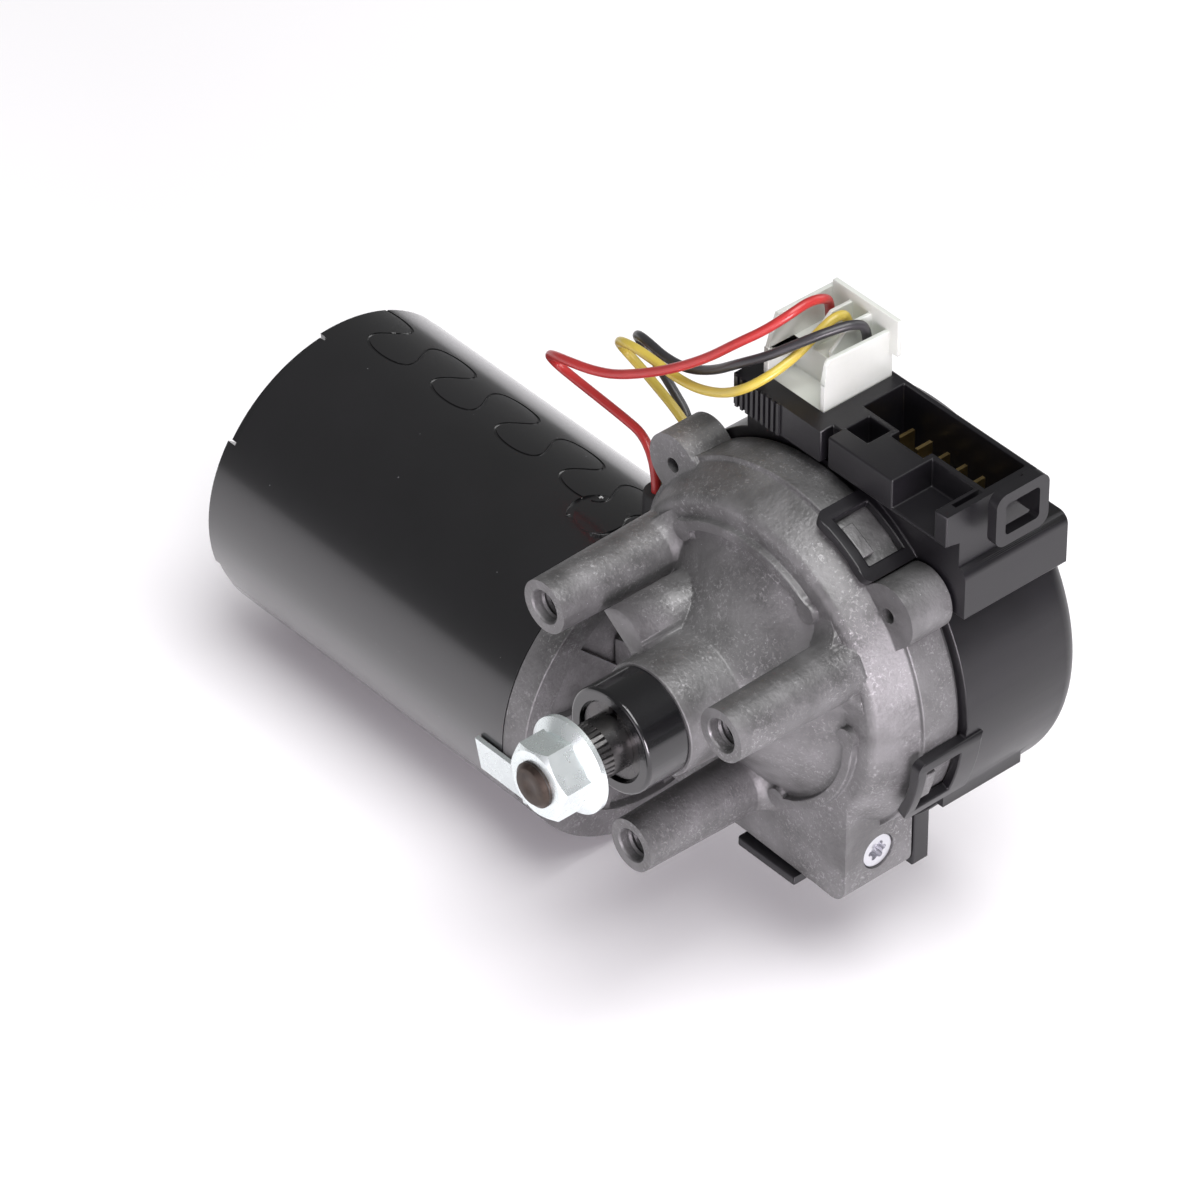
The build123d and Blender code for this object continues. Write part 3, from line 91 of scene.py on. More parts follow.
class ShaderGroups:
    """Node groups shared by the finishes, each built once."""

    def __init__(self) -> None:
        """Start with no groups built."""
        self._built: dict[str, bpy.types.NodeTree] = {}

    def _new(
        self, name: str, inputs: dict[str, float], output: str
    ) -> tuple[bpy.types.NodeTree, bpy.types.Node, bpy.types.Node]:
        """Make an empty group with its sockets.

        Args:
            name: The group's name.
            inputs: The name and default of each input.
            output: The name of the output.

        Returns:
            The tree, its input node and its output node.
        """
        tree = bpy.data.node_groups.new(name, "ShaderNodeTree")
        for label, default in inputs.items():
            socket = tree.interface.new_socket(label, in_out="INPUT", socket_type="NodeSocketFloat")
            socket.default_value = default
        tree.interface.new_socket(output, in_out="OUTPUT", socket_type="NodeSocketFloat")
        entry = tree.nodes.new("NodeGroupInput")
        leave = tree.nodes.new("NodeGroupOutput")
        self._built[name] = tree
        return tree, entry, leave

    def drift(self) -> bpy.types.NodeTree:
        """Slow change of tone over a surface, as a mask from 0 to 1.

        Returns:
            The group's tree.
        """
        if "tone_drift" in self._built:
            return self._built["tone_drift"]
        tree, entry, leave = self._new("tone_drift", {"Scale": 60.0, "Contrast": 1.0}, "Mask")
        place = tree.nodes.new("ShaderNodeTexCoord")
        noise = tree.nodes.new("ShaderNodeTexNoise")
        noise.inputs["Detail"].default_value = 5.0
        noise.inputs["Roughness"].default_value = 0.6
        spread = tree.nodes.new("ShaderNodeMath")
        spread.operation = "MULTIPLY_ADD"
        spread.inputs[2].default_value = 0.5
        shift = tree.nodes.new("ShaderNodeMath")
        shift.operation = "SUBTRACT"
        shift.inputs[1].default_value = 0.5
        clamp = tree.nodes.new("ShaderNodeClamp")
        tree.links.new(place.outputs["Object"], noise.inputs["Vector"])
        tree.links.new(entry.outputs["Scale"], noise.inputs["Scale"])
        tree.links.new(noise.outputs["Fac"], shift.inputs[0])
        tree.links.new(shift.outputs[0], spread.inputs[0])
        tree.links.new(entry.outputs["Contrast"], spread.inputs[1])
        tree.links.new(spread.outputs[0], clamp.inputs["Value"])
        tree.links.new(clamp.outputs[0], leave.inputs["Mask"])
        return tree

    def relief(self) -> bpy.types.NodeTree:
        """Fine relief of a cast, moulded or sprayed surface, as a height.

        Returns:
            The group's tree.
        """
        if "fine_relief" in self._built:
            return self._built["fine_relief"]
        tree, entry, leave = self._new("fine_relief", {"Scale": 1500.0, "Coarse": 0.3}, "Height")
        place = tree.nodes.new("ShaderNodeTexCoord")
        fine = tree.nodes.new("ShaderNodeTexNoise")
        fine.inputs["Detail"].default_value = 3.0
        wide = tree.nodes.new("ShaderNodeTexNoise")
        wide.inputs["Scale"].default_value = 240.0
        wide.inputs["Detail"].default_value = 2.0
        blend = tree.nodes.new("ShaderNodeMix")
        blend.data_type = "FLOAT"
        tree.links.new(place.outputs["Object"], fine.inputs["Vector"])
        tree.links.new(place.outputs["Object"], wide.inputs["Vector"])
        tree.links.new(entry.outputs["Scale"], fine.inputs["Scale"])
        tree.links.new(entry.outputs["Coarse"], blend.inputs["Factor"])
        tree.links.new(fine.outputs["Fac"], blend.inputs["A"])
        tree.links.new(wide.outputs["Fac"], blend.inputs["B"])
        tree.links.new(blend.outputs["Result"], leave.inputs["Height"])
        return tree

    def specks_and_glints(self) -> bpy.types.NodeTree:
        """Scattered small specks, as a mask that is 1 on a speck; the light specks on the cast aluminium are
        painted glints.

        Returns:
            The group's tree.
        """
        if "specks_and_glints" in self._built:
            return self._built["specks_and_glints"]
        tree, entry, leave = self._new("specks_and_glints", {"Scale": 900.0, "Size": 0.16}, "Mask")
        place = tree.nodes.new("ShaderNodeTexCoord")
        cells = tree.nodes.new("ShaderNodeTexVoronoi")
        near = tree.nodes.new("ShaderNodeMath")
        near.operation = "LESS_THAN"
        split = tree.nodes.new("ShaderNodeSeparateColor")
        some = tree.nodes.new("ShaderNodeMath")
        some.operation = "GREATER_THAN"
        some.inputs[1].default_value = 0.72
        both = tree.nodes.new("ShaderNodeMath")
        both.operation = "MULTIPLY"
        tree.links.new(place.outputs["Object"], cells.inputs["Vector"])
        tree.links.new(entry.outputs["Scale"], cells.inputs["Scale"])
        tree.links.new(cells.outputs["Distance"], near.inputs[0])
        tree.links.new(entry.outputs["Size"], near.inputs[1])
        tree.links.new(cells.outputs["Color"], split.inputs[0])
        tree.links.new(split.outputs[0], some.inputs[0])
        tree.links.new(near.outputs[0], both.inputs[0])
        tree.links.new(some.outputs[0], both.inputs[1])
        tree.links.new(both.outputs[0], leave.inputs["Mask"])
        return tree

    def scuffs(self) -> bpy.types.NodeTree:
        """Light rubbed patches and short scratches, as a mask from 0 to 1.

        Returns:
            The group's tree.
        """
        if "scuffs" in self._built:
            return self._built["scuffs"]
        tree, entry, leave = self._new("scuffs", {"Scale": 300.0, "Spread": 70.0}, "Mask")
        place = tree.nodes.new("ShaderNodeTexCoord")
        masks = []
        layers = (("Scale", 6.0, 1.0, 0.53, 0.68), ("Spread", 2.0, 0.0, 0.4, 0.62))
        for label, detail, twist, low, high in layers:
            noise = tree.nodes.new("ShaderNodeTexNoise")
            noise.inputs["Detail"].default_value = detail
            noise.inputs["Roughness"].default_value = 0.65
            noise.inputs["Distortion"].default_value = twist
            band = tree.nodes.new("ShaderNodeMapRange")
            band.inputs["From Min"].default_value = low
            band.inputs["From Max"].default_value = high
            tree.links.new(place.outputs["Object"], noise.inputs["Vector"])
            tree.links.new(entry.outputs[label], noise.inputs["Scale"])
            tree.links.new(noise.outputs["Fac"], band.inputs["Value"])
            masks.append(band)
        both = tree.nodes.new("ShaderNodeMath")
        both.operation = "MULTIPLY"
        tree.links.new(masks[0].outputs["Result"], both.inputs[0])
        tree.links.new(masks[1].outputs["Result"], both.inputs[1])
        tree.links.new(both.outputs[0], leave.inputs["Mask"])
        return tree

    def lines(self) -> bpy.types.NodeTree:
        """Fine parallel lines across X or Y, as a height from 0 to 1.

        Returns:
            The group's tree.
        """
        if "fine_lines" in self._built:
            return self._built["fine_lines"]
        tree, entry, leave = self._new("fine_lines", {"Along X": 0.0, "Along Y": 0.0}, "Height")
        place = tree.nodes.new("ShaderNodeTexCoord")
        split = tree.nodes.new("ShaderNodeSeparateXYZ")
        tree.links.new(place.outputs["Object"], split.inputs[0])
        parts = []
        for axis, label in (("X", "Along X"), ("Y", "Along Y")):
            scaled = tree.nodes.new("ShaderNodeMath")
            scaled.operation = "MULTIPLY"
            tree.links.new(split.outputs[axis], scaled.inputs[0])
            tree.links.new(entry.outputs[label], scaled.inputs[1])
            parts.append(scaled)
        total = tree.nodes.new("ShaderNodeMath")
        total.operation = "ADD"
        wave = tree.nodes.new("ShaderNodeMath")
        wave.operation = "SINE"
        half = tree.nodes.new("ShaderNodeMath")
        half.operation = "MULTIPLY_ADD"
        half.inputs[1].default_value = 0.5
        half.inputs[2].default_value = 0.5
        tree.links.new(parts[0].outputs[0], total.inputs[0])
        tree.links.new(parts[1].outputs[0], total.inputs[1])
        tree.links.new(total.outputs[0], wave.inputs[0])
        tree.links.new(wave.outputs[0], half.inputs[0])
        tree.links.new(half.outputs[0], leave.inputs["Height"])
        return tree


GROUPS = ShaderGroups()


@dataclass(frozen=True)
class Finish:
    """One finish of the motor's surfaces."""

    name: str
    colour: Colour
    second: Colour
    metallic: float = 0.0
    roughness: tuple[float, float] = (0.4, 0.5)
    drift_scale: float = 60.0
    drift_contrast: float = 1.6
    grain: Grain = Grain.MOULDED
    grain_scale: float = 1500.0
    grain_height: float = 0.00002
    lines_x: float = 0.0
    lines_y: float = 0.0
    # Speck colour: small flecks on most finishes, painted glints on the cast aluminium.
    speck_and_glint: Colour | None = None
    speck_and_glint_scale: float = 900.0
    speck_and_glint_size: float = 0.16
    scuff: Colour | None = None
    scuff_scale: float = 300.0
    coat: float = 0.0
    coat_roughness: float = 0.1
    specular: float = 0.5
    subsurface: float = 0.0
    scatter_reach: Colour = (0.004, 0.004, 0.0035)

    def build(self) -> bpy.types.Material:
        """Make the material.

        Returns:
            A node material that reads Object coordinates.
        """
        material = bpy.data.materials.new(self.name)
        material.use_nodes = True
        tree = material.node_tree
        shader = tree.nodes["Principled BSDF"]
        shader.inputs["Metallic"].default_value = self.metallic
        shader.inputs["Specular IOR Level"].default_value = self.specular
        shader.inputs["Coat Weight"].default_value = self.coat
        shader.inputs["Coat Roughness"].default_value = self.coat_roughness
        if self.subsurface:
            shader.inputs["Subsurface Weight"].default_value = self.subsurface
            shader.inputs["Subsurface Radius"].default_value = self.scatter_reach
            shader.inputs["Subsurface Scale"].default_value = 1.0
        values = {"Scale": self.drift_scale, "Contrast": self.drift_contrast}
        drift = self._group(tree, GROUPS.drift(), values)
        tone = tree.nodes.new("ShaderNodeMix")
        tone.data_type = "RGBA"
        tone.inputs["A"].default_value = (*self.colour, 1.0)
        tone.inputs["B"].default_value = (*self.second, 1.0)
        tree.links.new(drift.outputs["Mask"], tone.inputs["Factor"])
        colour = tone.outputs["Result"]
        if self.scuff is not None:
            scuffs = self._group(tree, GROUPS.scuffs(), {"Scale": self.scuff_scale})
            colour = self._over(tree, colour, self.scuff, scuffs)
        # Specks: small flecks on some finishes, painted glints on the cast aluminium.
        if self.speck_and_glint is not None:
            values = {"Scale": self.speck_and_glint_scale, "Size": self.speck_and_glint_size}
            specks_and_glints = self._group(tree, GROUPS.specks_and_glints(), values)
            colour = self._over(tree, colour, self.speck_and_glint, specks_and_glints)
        tree.links.new(colour, shader.inputs["Base Color"])
        rough = tree.nodes.new("ShaderNodeMapRange")
        rough.inputs["To Min"].default_value = self.roughness[0]
        rough.inputs["To Max"].default_value = self.roughness[1]
        tree.links.new(drift.outputs["Mask"], rough.inputs["Value"])
        tree.links.new(rough.outputs["Result"], shader.inputs["Roughness"])
        self._relief(tree, shader)
        return material

    def _group(
        self, tree: bpy.types.NodeTree, group: bpy.types.NodeTree, values: dict[str, float]
    ) -> bpy.types.Node:
        """Place a shared group in the material with its own values.

        Args:
            tree: The material's tree.
            group: The shared group.
            values: The value of each of its inputs, by name.

        Returns:
            The group node.
        """
        node = tree.nodes.new("ShaderNodeGroup")
        node.node_tree = group
        for label, value in values.items():
            node.inputs[label].default_value = value
        return node

    def _over(
        self, tree: bpy.types.NodeTree, below: bpy.types.NodeSocket, colour: Colour, mask: bpy.types.Node
    ) -> bpy.types.NodeSocket:
        """Lay one more colour over what is there, where a mask says so.

        Args:
            tree: The material's tree.
            below: The colour so far.
            colour: The colour to lay over it.
            mask: The group node whose Mask output is read.

        Returns:
            The socket with the mixed colour.
        """
        mix = tree.nodes.new("ShaderNodeMix")
        mix.data_type = "RGBA"
        mix.inputs["B"].default_value = (*colour, 1.0)
        tree.links.new(mask.outputs["Mask"], mix.inputs["Factor"])
        tree.links.new(below, mix.inputs["A"])
        return mix.outputs["Result"]

    def _relief(self, tree: bpy.types.NodeTree, shader: bpy.types.Node) -> None:
        """Feed the finish's relief to the shader's normal.

        Args:
            tree: The material's tree.
            shader: The Principled shader.
        """
        bump = tree.nodes.new("ShaderNodeBump")
        bump.inputs["Strength"].default_value = 1.0
        bump.inputs["Distance"].default_value = self.grain_height
        if self.grain in (Grain.TURNED, Grain.STACKED, Grain.WOUND):
            relief = self._group(tree, GROUPS.lines(), {"Along X": self.lines_x, "Along Y": self.lines_y})
        else:
            values = {"Scale": self.grain_scale, "Coarse": COARSE_SHARE[self.grain]}
            relief = self._group(tree, GROUPS.relief(), values)
        tree.links.new(relief.outputs["Height"], bump.inputs["Height"])
        tree.links.new(bump.outputs["Normal"], shader.inputs["Normal"])


# The light specks of this finish are painted glints on the blasted metal.
CAST_ALUMINIUM = Finish(
    "cast_aluminium", (0.115, 0.114, 0.114), (0.2, 0.198, 0.2), metallic=0.55, roughness=(0.42, 0.58),
    drift_scale=95.0, drift_contrast=3.2, grain=Grain.BLASTED, grain_scale=1200.0, grain_height=0.00015,
    speck_and_glint=(0.34, 0.34, 0.35), speck_and_glint_scale=700.0, speck_and_glint_size=0.075,
    scuff=(0.33, 0.325, 0.33), scuff_scale=1300.0,
)
CAN_PAINT = Finish(
    "can_paint", (0.004, 0.004, 0.0045), (0.007, 0.0065, 0.008), roughness=(0.28, 0.36), drift_scale=30.0,
    grain=Grain.PAINTED, grain_scale=700.0, grain_height=0.00001, speck_and_glint=(0.16, 0.16, 0.17),
    speck_and_glint_scale=260.0, speck_and_glint_size=0.035, coat=1.0, coat_roughness=0.13,
)
COVER_PLASTIC = Finish(
    "cover_plastic", (0.0045, 0.0042, 0.005), (0.008, 0.0072, 0.0095), roughness=(0.32, 0.42),
    drift_scale=50.0, grain_scale=1600.0, grain_height=0.000015, specular=0.48,
)
CAP_PLASTIC = Finish(
    "cap_plastic", (0.005, 0.005, 0.0055), (0.008, 0.008, 0.009), roughness=(0.14, 0.22), drift_scale=80.0,
    grain_scale=900.0, grain_height=0.000004, coat=0.5, coat_roughness=0.08,
)
BLACK_RUBBER = Finish(
    "black_rubber", (0.018, 0.018, 0.019), (0.03, 0.03, 0.031), roughness=(0.55, 0.7), grain_scale=1100.0,
    grain_height=0.00003, specular=0.35,
)
NATURAL_NYLON = Finish(
    "natural_nylon", (0.56, 0.58, 0.54), (0.64, 0.66, 0.62), roughness=(0.28, 0.38), drift_scale=90.0,
    grain_scale=900.0, grain_height=0.00001, subsurface=0.25,
)
ZINC_PLATE = Finish(
    "zinc_plate", (0.7, 0.76, 0.76), (0.8, 0.86, 0.85), metallic=0.75, roughness=(0.2, 0.34),
    drift_scale=160.0, grain=Grain.PAINTED, grain_scale=1200.0, grain_height=0.000006,
    speck_and_glint=(0.42, 0.41, 0.4), speck_and_glint_scale=420.0, speck_and_glint_size=0.07,
)
PALE_ZINC = Finish(
    "pale_zinc", (0.56, 0.565, 0.6), (0.64, 0.645, 0.67), metallic=0.9, roughness=(0.32, 0.42),
    drift_scale=200.0, grain=Grain.PAINTED, grain_scale=1400.0, grain_height=0.00001,
)
BLACKENED_STEEL = Finish(
    "blackened_steel", (0.07, 0.07, 0.075), (0.14, 0.135, 0.13), metallic=0.9, roughness=(0.22, 0.34),
    drift_scale=260.0, grain=Grain.TURNED, lines_y=26000.0, grain_height=0.000004,
)
THREAD_STEEL = Finish(
    "thread_steel", (0.035, 0.026, 0.022), (0.085, 0.066, 0.054), metallic=0.8, roughness=(0.36, 0.52),
    drift_scale=420.0, drift_contrast=2.4, grain=Grain.PAINTED, grain_scale=1500.0, grain_height=0.00003,
)
GROUND_STEEL = Finish(
    "ground_steel", (0.5, 0.5, 0.51), (0.58, 0.58, 0.59), metallic=1.0, roughness=(0.24, 0.34),
    drift_scale=120.0, grain=Grain.TURNED, lines_x=24000.0, grain_height=0.000003,
)
SPRING_STEEL = Finish(
    "spring_steel", (0.45, 0.45, 0.46), (0.55, 0.54, 0.53), metallic=1.0, roughness=(0.28, 0.4),
    drift_scale=200.0, grain=Grain.PAINTED, grain_scale=1600.0, grain_height=0.000006,
)
LAMINATIONS = Finish(
    "laminations", (0.26, 0.26, 0.27), (0.34, 0.34, 0.35), metallic=0.8, roughness=(0.4, 0.55),
    grain=Grain.STACKED, lines_x=12566.0, grain_height=0.00006,
)
ENAMELLED_COPPER = Finish(
    "enamelled_copper", (0.55, 0.2, 0.07), (0.66, 0.27, 0.1), metallic=0.75, roughness=(0.25, 0.38),
    grain=Grain.WOUND, lines_x=9000.0, grain_height=0.00018, coat=0.3,
)
BARE_COPPER = Finish(
    "bare_copper", (0.72, 0.36, 0.22), (0.8, 0.44, 0.28), metallic=1.0, roughness=(0.25, 0.4),
    grain=Grain.TURNED, lines_x=15000.0, grain_height=0.000006,
)
BRASS = Finish(
    "brass_strip", (0.62, 0.45, 0.18), (0.72, 0.54, 0.26), metallic=1.0, roughness=(0.26, 0.4),
    drift_scale=220.0, grain=Grain.PAINTED, grain_scale=1300.0, grain_height=0.000008,
)
SINTERED_BRONZE = Finish(
    "sintered_bronze", (0.4, 0.27, 0.13), (0.5, 0.35, 0.18), metallic=0.9, roughness=(0.42, 0.55),
    grain=Grain.BLASTED, grain_scale=2600.0, grain_height=0.00003,
)
FERRITE = Finish(
    "ferrite", (0.05, 0.05, 0.055), (0.08, 0.08, 0.085), roughness=(0.5, 0.65), grain=Grain.BLASTED,
    grain_scale=1000.0, grain_height=0.00003,
)
CARBON = Finish(
    "carbon", (0.02, 0.02, 0.021), (0.04, 0.038, 0.036), roughness=(0.5, 0.6), grain=Grain.BLASTED,
    grain_scale=1800.0, grain_height=0.00003,
)
PHENOLIC = Finish(
    "phenolic", (0.2, 0.1, 0.045), (0.26, 0.14, 0.06), roughness=(0.45, 0.6), grain_scale=1200.0,
    grain_height=0.00002,
)
ACETAL = Finish(
    "acetal", (0.8, 0.78, 0.7), (0.86, 0.84, 0.77), roughness=(0.34, 0.45), grain_scale=900.0,
    grain_height=0.00001, subsurface=0.15,
)
GASKET = Finish(
    "gasket", (0.03, 0.03, 0.03), (0.05, 0.05, 0.05), roughness=(0.6, 0.75), grain=Grain.BLASTED,
    grain_scale=1500.0, grain_height=0.00004,
)

NODE_FINISHES: dict[Finish, tuple[str, ...]] = {
    CAST_ALUMINIUM: ("gear_housing",),
    CAN_PAINT: ("motor_can", "can_end_plate"),
    COVER_PLASTIC: ("gear_cover",),
    CAP_PLASTIC: ("shaft_cap",),
    BLACK_RUBBER: ("wire_grommet", "shaft_seal"),
    NATURAL_NYLON: ("plug_housing",),
    ZINC_PLATE: ("flange_nut", "can_clips"),
    PALE_ZINC: ("thrust_screw",),
    BLACKENED_STEEL: ("output_shaft", "retaining_ring"),
    GROUND_STEEL: ("armature_shaft", "thrust_washer"),
    SPRING_STEEL: ("magnet_springs", "brush_springs"),
    LAMINATIONS: ("armature_core",),
    ENAMELLED_COPPER: ("armature_windings", "choke_coils"),
    BARE_COPPER: ("commutator", "park_disc"),
    BRASS: ("socket_blades", "plug_pins", "brush_boxes", "park_contacts"),
    SINTERED_BRONZE: ("rear_bush", "front_bush", "worm_end_bush", "output_bushes"),
    FERRITE: ("field_magnets",),
    CARBON: ("carbon_brushes",),
    PHENOLIC: ("brush_plate",),
    ACETAL: ("worm_wheel", "thrust_pad"),
    GASKET: ("cover_gasket",),
}


class Workshop:
    """Makes, dresses and registers pieces of the scene."""

    def __init__(self) -> None:
        """Start with no materials made."""
        self._materials: dict[str, bpy.types.Material] = {}

    def material(self, finish: Finish) -> bpy.types.Material:
        """The material of a finish, made the first time it is asked for.

        Args:
            finish: The finish.

        Returns:
            Its material.
        """
        if finish.name not in self._materials:
            self._materials[finish.name] = finish.build()
        return self._materials[finish.name]

    def dress(self, piece: bpy.types.Object, finish: Finish) -> None:
        """Give a piece one finish all over."""
        piece.data.materials.clear()
        piece.data.materials.append(self.material(finish))

    def piece(
        self, name: str, mesh: bmesh.types.BMesh, finish: Finish, smooth: float = 40.0
    ) -> bpy.types.Object:
        """Turn a bmesh into a dressed object.

        Args:
            name: The new object's name.
            mesh: The shape, which is used up.
            finish: The finish it gets.
            smooth: Edges flatter than this angle, in degrees, are shaded smooth.

        Returns:
            The new object, linked to the scene.
        """
        data = bpy.data.meshes.new(name)
        mesh.to_mesh(data)
        mesh.free()
        data.polygons.foreach_set("use_smooth", [True] * len(data.polygons))
        data.set_sharp_from_angle(angle=math.radians(smooth))
        made = bpy.data.objects.new(name, data)
        bpy.context.scene.collection.objects.link(made)
        self.dress(made, finish)
        return made

    def ride(self, piece: bpy.types.Object, body: Body, note: str, *nodes: str) -> None:
        """Put a piece on its body and say which CAD nodes it stands for.

        Args:
            piece: The piece.
            body: The body that carries it.
            note: A few words for the log.
            *nodes: CAD nodes that the piece replaces, if any.
        """
        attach(piece, body.value)
        if nodes:
            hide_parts(*nodes)
        log.info("%s on %s: %s", piece.name, body.value, note)


SHOP = Workshop()


def ring_of_revolution(
    mesh: bmesh.types.BMesh, profile: list[tuple[float, float]], centre: Vector, axis: Vector, across: Vector,
    steps: int, angle: float = 360.0, rise: float = 0.0, closed: bool = True,
) -> list[bmesh.types.BMVert]:
    """Spin a profile about an axis with bmesh's spin.

    Args:
        mesh: The bmesh that receives the shape.
        profile: Points as distance along the axis and distance out from it, in metres.
        centre: A point on the axis.
        axis: The axis direction.
        across: The direction of the profile's outward distance at the start.
        steps: How many steps the sweep has.
        angle: The sweep in degrees.
        rise: Travel along the axis over the whole sweep, for a thread.
        closed: Whether the profile's last point joins its first.

    Returns:
        The profile's own vertices.
    """
    points = [mesh.verts.new(centre + axis * along + across * out) for along, out in profile]
    pairs = list(zip(points, points[1:]))
    if closed:
        pairs.append((points[-1], points[0]))
    edges = [mesh.edges.new(pair) for pair in pairs]
    full = abs(angle - 360.0) < 1e-6 and rise == 0.0
    bmesh.ops.spin(
        mesh, geom=points + edges, cent=centre, axis=axis, dvec=axis * (rise / steps),
        angle=math.radians(angle), steps=steps, use_merge=full, use_normal_flip=False, use_duplicate=False,
    )
    return points


def evaluated_mesh(piece: bpy.types.Object) -> bpy.types.Mesh:
    """The mesh that an object's modifiers or curve settings give.

    Args:
        piece: The object, left as it is.

    Returns:
        A new mesh.
    """
    bpy.context.view_layer.update()
    return bpy.data.meshes.new_from_object(piece.evaluated_get(bpy.context.evaluated_depsgraph_get()))


@dataclass
class CanDress:
    """The motor can with its rolled-joint seam."""

    axis_y: float = 40.0 * MM
    axis_z: float = -35.5 * MM
    radius: float = 35.0 * MM
    far_x: float = -139.6 * MM
    near_x: float = -44.4 * MM
    lobe_pitch: float = 20.2 * MM
    first_lobe_x: float = -125.1 * MM
    seam_angle: float = 76.8
    lobe_height: float = 7.1 * MM
    lobe_overhang: float = 3.73 * MM
    groove_r: float = 0.33 * MM
    groove_sink: float = 0.05 * MM
    steps_per_lobe: int = 56
    wall_tolerance: float = 0.12 * MM
    wall_facing: float = 0.98
    first_shade_angle: float = 30.0
    shade_angle: float = 25.0
    bar_roundness: int = 2

    def seam_points(self) -> list[Vector]:
        """The jigsaw line of the rolled joint, as a row of points.

        Returns:
            Points a little under the painted surface.
        """
        neck_x = self.first_lobe_x - self.lobe_pitch / 4
        first = math.floor((self.far_x - neck_x) / self.lobe_pitch * self.steps_per_lobe)
        last = math.ceil((self.near_x - neck_x) / self.lobe_pitch * self.steps_per_lobe)
        out = self.radius - self.groove_sink
        line = []
        for step in range(first, last + 1):
            phase = 2 * math.pi * step / self.steps_per_lobe
            along = neck_x + self.lobe_pitch * step / self.steps_per_lobe
            along -= self.lobe_overhang * math.sin(2 * phase)
            turn = math.radians(self.seam_angle) + self.lobe_height * math.sin(phase) / self.radius
            across, up = out * math.cos(turn), out * math.sin(turn)
            line.append(Vector((along, self.axis_y + across, self.axis_z + up)))
        return line

    def groove_cutter(self) -> bpy.types.Object:
        """A thin round bar along the seam, to cut the groove with.

        Returns:
            The bar as a mesh object.
        """
        curve = bpy.data.curves.new("seam_bar", "CURVE")
        curve.dimensions = "3D"
        curve.bevel_depth = self.groove_r
        curve.bevel_resolution = self.bar_roundness
        curve.use_fill_caps = True
        spline = curve.splines.new("POLY")
        line = self.seam_points()
        spline.points.add(len(line) - 1)
        for point, place in zip(spline.points, line):
            point.co = (*place, 1.0)
        holder = bpy.data.objects.new("seam_bar", curve)
        bpy.context.scene.collection.objects.link(holder)
        mesh = evaluated_mesh(holder)
        bpy.data.objects.remove(holder)
        bar = bmesh.new()
        bar.from_mesh(mesh)
        bmesh.ops.remove_doubles(bar, verts=bar.verts, dist=MERGE)
        bmesh.ops.recalc_face_normals(bar, faces=bar.faces)
        bar.to_mesh(mesh)
        bar.free()
        cutter = bpy.data.objects.new("seam_cutter", mesh)
        bpy.context.scene.collection.objects.link(cutter)
        return cutter

    def round_normals(self, mesh: bpy.types.Mesh) -> None:
        """Shade the faces of the round wall as one smooth cylinder.

        Args:
            mesh: The can with its groove cut.
        """
        normals = [corner.vector.copy() for corner in mesh.corner_normals]
        for face in mesh.polygons:
            out = Vector((0.0, face.center.y - self.axis_y, face.center.z - self.axis_z))
            if abs(out.length - self.radius) > self.wall_tolerance:
                continue
            if face.normal.dot(out.normalized()) < self.wall_facing:
                continue
            for corner in face.loop_indices:
                place = mesh.vertices[mesh.loops[corner].vertex_index].co
                normals[corner] = Vector((0.0, place.y - self.axis_y, place.z - self.axis_z)).normalized()
        mesh.normals_split_custom_set(normals)

    def build(self) -> None:
        """Cut the seam into a copy of the can and dress it."""
        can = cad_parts["motor_can"]
        shell = bmesh.new()
        shell.from_mesh(can.data)
        bmesh.ops.remove_doubles(shell, verts=shell.verts, dist=MERGE)
        painted = SHOP.piece("can_shell", shell, CAN_PAINT, smooth=self.first_shade_angle)
        cutter = self.groove_cutter()
        cut = painted.modifiers.new("seam", "BOOLEAN")
        cut.operation = "DIFFERENCE"
        cut.solver = "EXACT"
        cut.use_self = True
        cut.object = cutter
        grooved = evaluated_mesh(painted)
        painted.modifiers.clear()
        grooved.set_sharp_from_angle(angle=math.radians(self.shade_angle))
        self.round_normals(grooved)
        painted.data = grooved
        bpy.data.objects.remove(cutter)
        SHOP.dress(painted, CAN_PAINT)
        SHOP.ride(painted, Body.FRAME, "painted can with its seam", "motor_can")


@dataclass
class SoftenedPiece:
    """A copy of one CAD node with its long outer edges rounded, as a mould or die leaves them."""

    node: str
    name: str
    finish: Finish
    edge_r: float
    sharp_angle: float = 35.0
    room: float = 3.0
    flat_angle: float = 0.6
    segments: int = 2

    def long_edges(self, mesh: bmesh.types.BMesh) -> list[bmesh.types.BMEdge]:
        """The sharp edges that have room for a rounding at both ends.

        Args:
            mesh: The merged copy of the node.

        Returns:
            The edges to round.
        """
        least = self.room * self.edge_r
        picked = []
        for edge in mesh.edges:
            if len(edge.link_faces) != 2 or edge.calc_face_angle(0.0) < math.radians(self.sharp_angle):
                continue
            if all(near.calc_length() >= least for vert in edge.verts for near in vert.link_edges):
                picked.append(edge)
        return picked

    def build(self) -> bpy.types.Object:
        """Round the copy and let it stand for the node.

        Returns:
            The finished piece.
        """
        copy = bmesh.new()
        copy.from_mesh(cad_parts[self.node].data)
        bmesh.ops.remove_doubles(copy, verts=copy.verts, dist=MERGE)
        bmesh.ops.dissolve_limit(
            copy, angle_limit=math.radians(self.flat_angle), verts=copy.verts, edges=copy.edges
        )
        edges = self.long_edges(copy)
        bmesh.ops.bevel(
            copy, geom=edges, offset=self.edge_r, offset_type="OFFSET", segments=self.segments, profile=0.5,
            affect="EDGES", clamp_overlap=False, material=-1,
        )
        rounded = SHOP.piece(self.name, copy, self.finish, smooth=self.sharp_angle)
        even = rounded.modifiers.new("even_shading", "WEIGHTED_NORMAL")
        even.keep_sharp = True
        shaded = evaluated_mesh(rounded)
        rounded.modifiers.clear()
        rounded.data = shaded
        SHOP.ride(rounded, Body.FRAME, f"{len(edges)} edges rounded", self.node)
        return rounded


